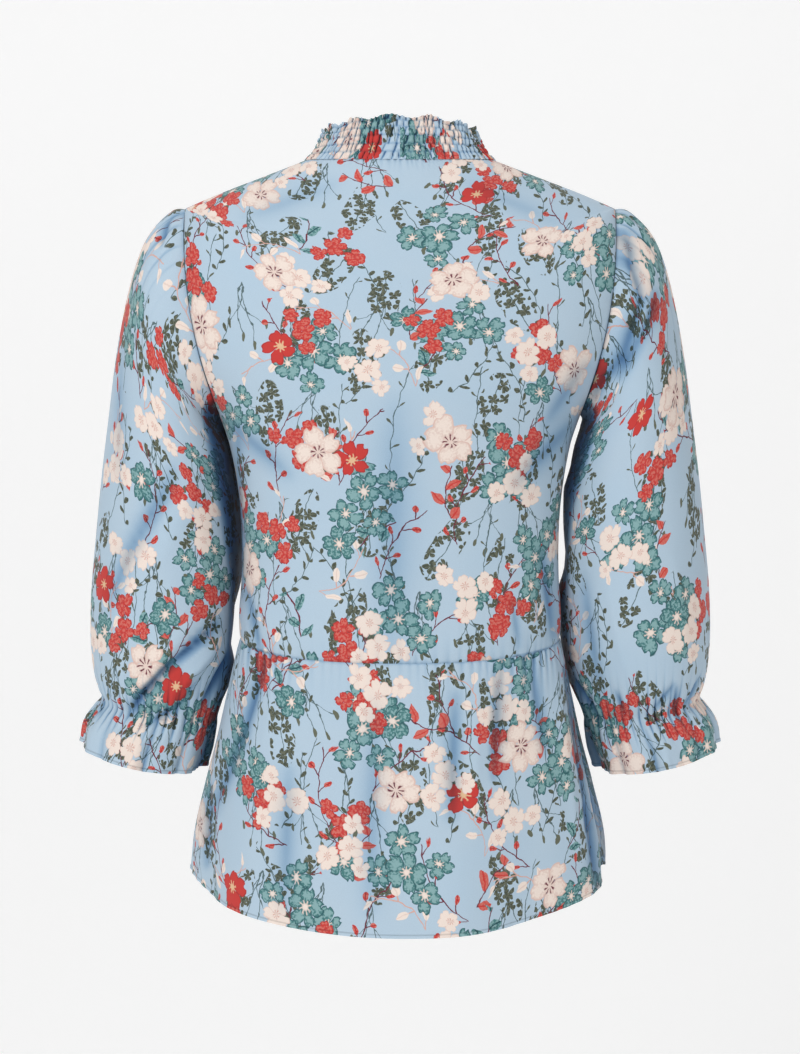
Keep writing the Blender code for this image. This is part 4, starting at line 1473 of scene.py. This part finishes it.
def beside_body(name, heights, turn):
    """How far each point moves towards the body, and how dark its painted shadow is there."""
    table = np.array(BESIDE[name])[::-1].T
    swell, inward, shadow, reach = (np.interp(heights, table[0], column) for column in table[1:])
    from_inner = np.where(turn < math.tau, turn - math.pi, turn - 3 * math.pi)
    shift = swell * hump(from_inner, 0.50, 0.36) + inward * hump(from_inner, 0, 0.40)
    to_back = np.clip((reach + from_inner) / (0.42 * reach), 0, 1)
    to_front = np.clip((1.9 - from_inner) / 0.8, 0, 1)
    inside = to_back**2 * (3 - 2 * to_back) * to_front
    return shift, shadow * inside


print("shadow rows:", {name: len(rows) for name, rows in BESIDE.items()})

# %% Sewing the sleeves
FRILL_PUCKER = Pucker(0.014, 0.0006, 0.006)
# painted shade in the folds, head pleats, cuff gathers and frill flutes; BODY_SHADOW is how dark the
# painted shadow beside the body gets
SLEEVE_SHADES = {
    "folds": PaintedShade(0.78, 0.0048),
    "head": PaintedShade(0.35, 0.0016),
    "cuff": PaintedShade(0.60, 0.0014),
    "frill": PaintedShade(0.30, 0.0045),
}
BODY_SHADOW = 0.95


def sleeve_form(arm, places, turn):
    """The smooth form of a sleeve, and its rings as named columns."""
    ring = columns_of(SleeveRing, SLEEVE_RINGS, places)
    up = (1 + np.cos(turn)) / 2
    bowed = 1 - (1 - up) ** ARMHOLE_BOW
    out = up + np.clip(ring.bow, 0, 1) * (bowed - up)
    x = ring.inner_x + (ring.outer_x - ring.inner_x) * out
    y = ring.middle_y + ring.half_depth * np.sin(turn) - arm.forward * ring.swing
    z = ring.inner_z + (ring.outer_z - ring.inner_z) * up - ring.dip * np.sin(turn)
    points = np.stack(np.broadcast_arrays(arm.side * x, y, z), axis=2)
    middle = np.stack(
        np.broadcast_arrays(
            arm.side * (ring.inner_x + ring.outer_x) / 2 + 0 * turn,
            ring.middle_y - arm.forward * ring.swing,
            (ring.inner_z + ring.outer_z) / 2,
        ),
        axis=2,
    )
    return points, middle, ring


def make_sleeve(name, arm, seed):
    turn = np.linspace(math.pi, 3 * math.pi, SLEEVE_COLUMNS + 1)
    points, middle, ring = sleeve_form(arm, SLEEVE_PLACES, turn)
    across, down = cloth_lengths(points, SLEEVE_WIDTH)
    from_hem = down.max() - down
    around = (turn[None, :] - math.tau) * SLEEVE_WIDTH / math.tau + 0 * down
    heights = points[..., 2]
    top = np.clip(np.cos(turn), 0, 1) ** 2
    parts = {
        "folds": sum(
            creased(around + wrapped, heights, SLEEVE_CREASES[name])
            for wrapped in (0, SLEEVE_WIDTH, -SLEEVE_WIDTH)
        ),
        "head": np.clip(ring.head, 0, 1) * top * gathers(turn, HEAD_GATHERS, seed),
        "cuff": np.clip(ring.gather, 0, 1) * gathers(turn, CUFF_GATHERS, seed + 1),
        "frill": np.clip(ring.flute, 0, 1) * gathers(turn, FRILL_FLUTES, 0.3),
    }
    relief = sum(parts.values()) + seam_groove(down, 0.5) + rolled_hem(from_hem)
    relief += puckered(around, from_hem, FRILL_PUCKER, seed)
    shift, shadow = beside_body(name, heights, turn)
    points = raised(points, relief, True, middle)
    points[..., 0] -= arm.side * shift
    # painted shade in the folds and gathers, at the armhole seam, and the painted shadow beside the
    # body
    hollow = sum(sunk(part, SLEEVE_SHADES[kind]) for kind, part in parts.items())
    hollow += seam_shade(down, 0.10) + BODY_SHADOW * shadow
    sew_sheet(
        name, points, across, from_hem, from_hem, hollow, True, middle
    )


for sleeve_name, arm_hang in ARMS.items():
    make_sleeve(sleeve_name, arm_hang, 0.9 + arm_hang.side)

# %% [markdown]
# ## The smocked neck band
#
# The band is a strip nearly twice as long as the neck, sewn over rows of elastic thread. Each
# row pinches the gathers flat, and between two rows they puff out again, a little out of step.
# Above the last row the free edge spreads into a small ruffle.

# %% Sections of the neck band
NeckRing = namedtuple("NeckRing", "side_x side_z back_y back_z front_y front_z relief")
NECK_RINGS = rows_of(
    NeckRing,
    (0.0790, 0.0030, 0.0550, 0.0000, -0.0600, -0.0500, 0.0010),
    (0.0732, 0.0085, 0.0530, 0.0075, -0.0605, -0.0425, 0.0018),
    (0.0692, 0.0140, 0.0515, 0.0150, -0.0610, -0.0345, 0.0018),
    (0.0672, 0.0190, 0.0505, 0.0230, -0.0618, -0.0265, 0.0018),
    (0.0650, 0.0230, 0.0500, 0.0300, -0.0625, -0.0195, 0.0018),
    (0.0628, 0.0270, 0.0512, 0.0360, -0.0640, -0.0135, 0.0026),
)
NECK_GATHERS = 84
ELASTIC_ROWS = (0.9, 1.8, 2.7, 3.6, 4.4)
STRIP_WIDTH = 0.74
NECK_EDGE_WAVE, NECK_EDGE_WAVES = 0.0018, 13
NECK_AXIS_Y = -0.005
PINCH_REACH = 0.13  # in rows of the table
PINCH_FLATTENS, PINCH_SINKS, PINCH_SHADES = 0.30, 0.0004, 0.12
# painted shade in the valleys between the puffs: its strength and full depth
PUFF_SHADE, PUFF_TOP = PaintedShade(1.30, 0.0015), 0.0001
RUFFLE = 0.0012


def neck_form(places, turn):
    """The smooth form of the band, without its gathers."""
    ring = columns_of(NeckRing, NECK_RINGS, places)
    at_back = np.cos(turn) > 0
    wide = np.abs(np.sin(turn)) ** SQUARENESS
    inward = np.abs(np.cos(turn)) ** SQUARENESS
    middle_y = np.where(at_back, ring.back_y, ring.front_y)
    middle_z = np.where(at_back, ring.back_z, ring.front_z)
    x = np.sign(np.sin(turn)) * ring.side_x * wide
    z = ring.side_z + (middle_z - ring.side_z) * inward**2
    top = places[:, None] / (len(NECK_RINGS) - 1)
    z = z + NECK_EDGE_WAVE * top**4 * np.sin(NECK_EDGE_WAVES * turn)
    return np.stack([x, middle_y * inward, z], axis=2), ring


print("elastic rows:", len(ELASTIC_ROWS))


# %% Smocking the band
def smocked(places, turn):
    """The gathers of the band, from -1 to 1, and how much an elastic pinches each place."""
    wander = 1.2 * np.sin(5 * turn + 0.4) + 1.0 * np.sin(11 * turn + 2.0) + 0.9 * np.sin(23 * turn)
    borders = (-1.0, *ELASTIC_ROWS, 6.0)
    total = 0
    for number, (low, high) in enumerate(zip(borders[:-1], borders[1:])):
        band = (np.tanh((places - low) / 0.12) - np.tanh((places - high) / 0.12)) / 2
        phase = 2.1 * (number % 2) + 1.9 * np.sin((5 + 2 * number) * turn + 1.3 * number)
        phase = phase + 1.1 * np.sin((17 + 3 * number) * turn + 2.1 * number)
        slant = (1.2 + 0.8 * np.sin(7 * turn + number)) * (places - (low + high) / 2)
        uneven = 0.70 + 0.30 * np.sin((19 + 4 * number) * turn + 1.7 * number)
        total = total + band * uneven * pleated(NECK_GATHERS * turn + wander + phase + slant, 0.7)
    pinch = sum(hump(places, row, PINCH_REACH) for row in ELASTIC_ROWS)
    return total, pinch


def make_neck_band(name):
    turn = np.linspace(0, math.tau, NECK_GATHERS * 9 + 1)
    places = np.linspace(0, len(NECK_RINGS) - 1, 64)
    points, ring = neck_form(places, turn)
    across, up = cloth_lengths(points, STRIP_WIDTH)
    wave, pinch = smocked(places[:, None], turn[None, :])
    wave[:, -1] = wave[:, 0]
    relief = ring.relief * wave * (1 - PINCH_FLATTENS * pinch) - PINCH_SINKS * pinch
    points[..., 2] += RUFFLE * (places[:, None] / places[-1]) ** 6 * wave
    # painted shade in the valleys between the puffs and along the elastic rows
    hollow = sunk(relief + PUFF_TOP, PUFF_SHADE) + PINCH_SHADES * pinch
    axis = points * [0, 0, 1] + [0, NECK_AXIS_Y, 0]
    points = raised(points, relief, True, axis)
    sew_sheet(name, points, across, up, 1.0, hollow, True, axis)


make_neck_band("neck_band")
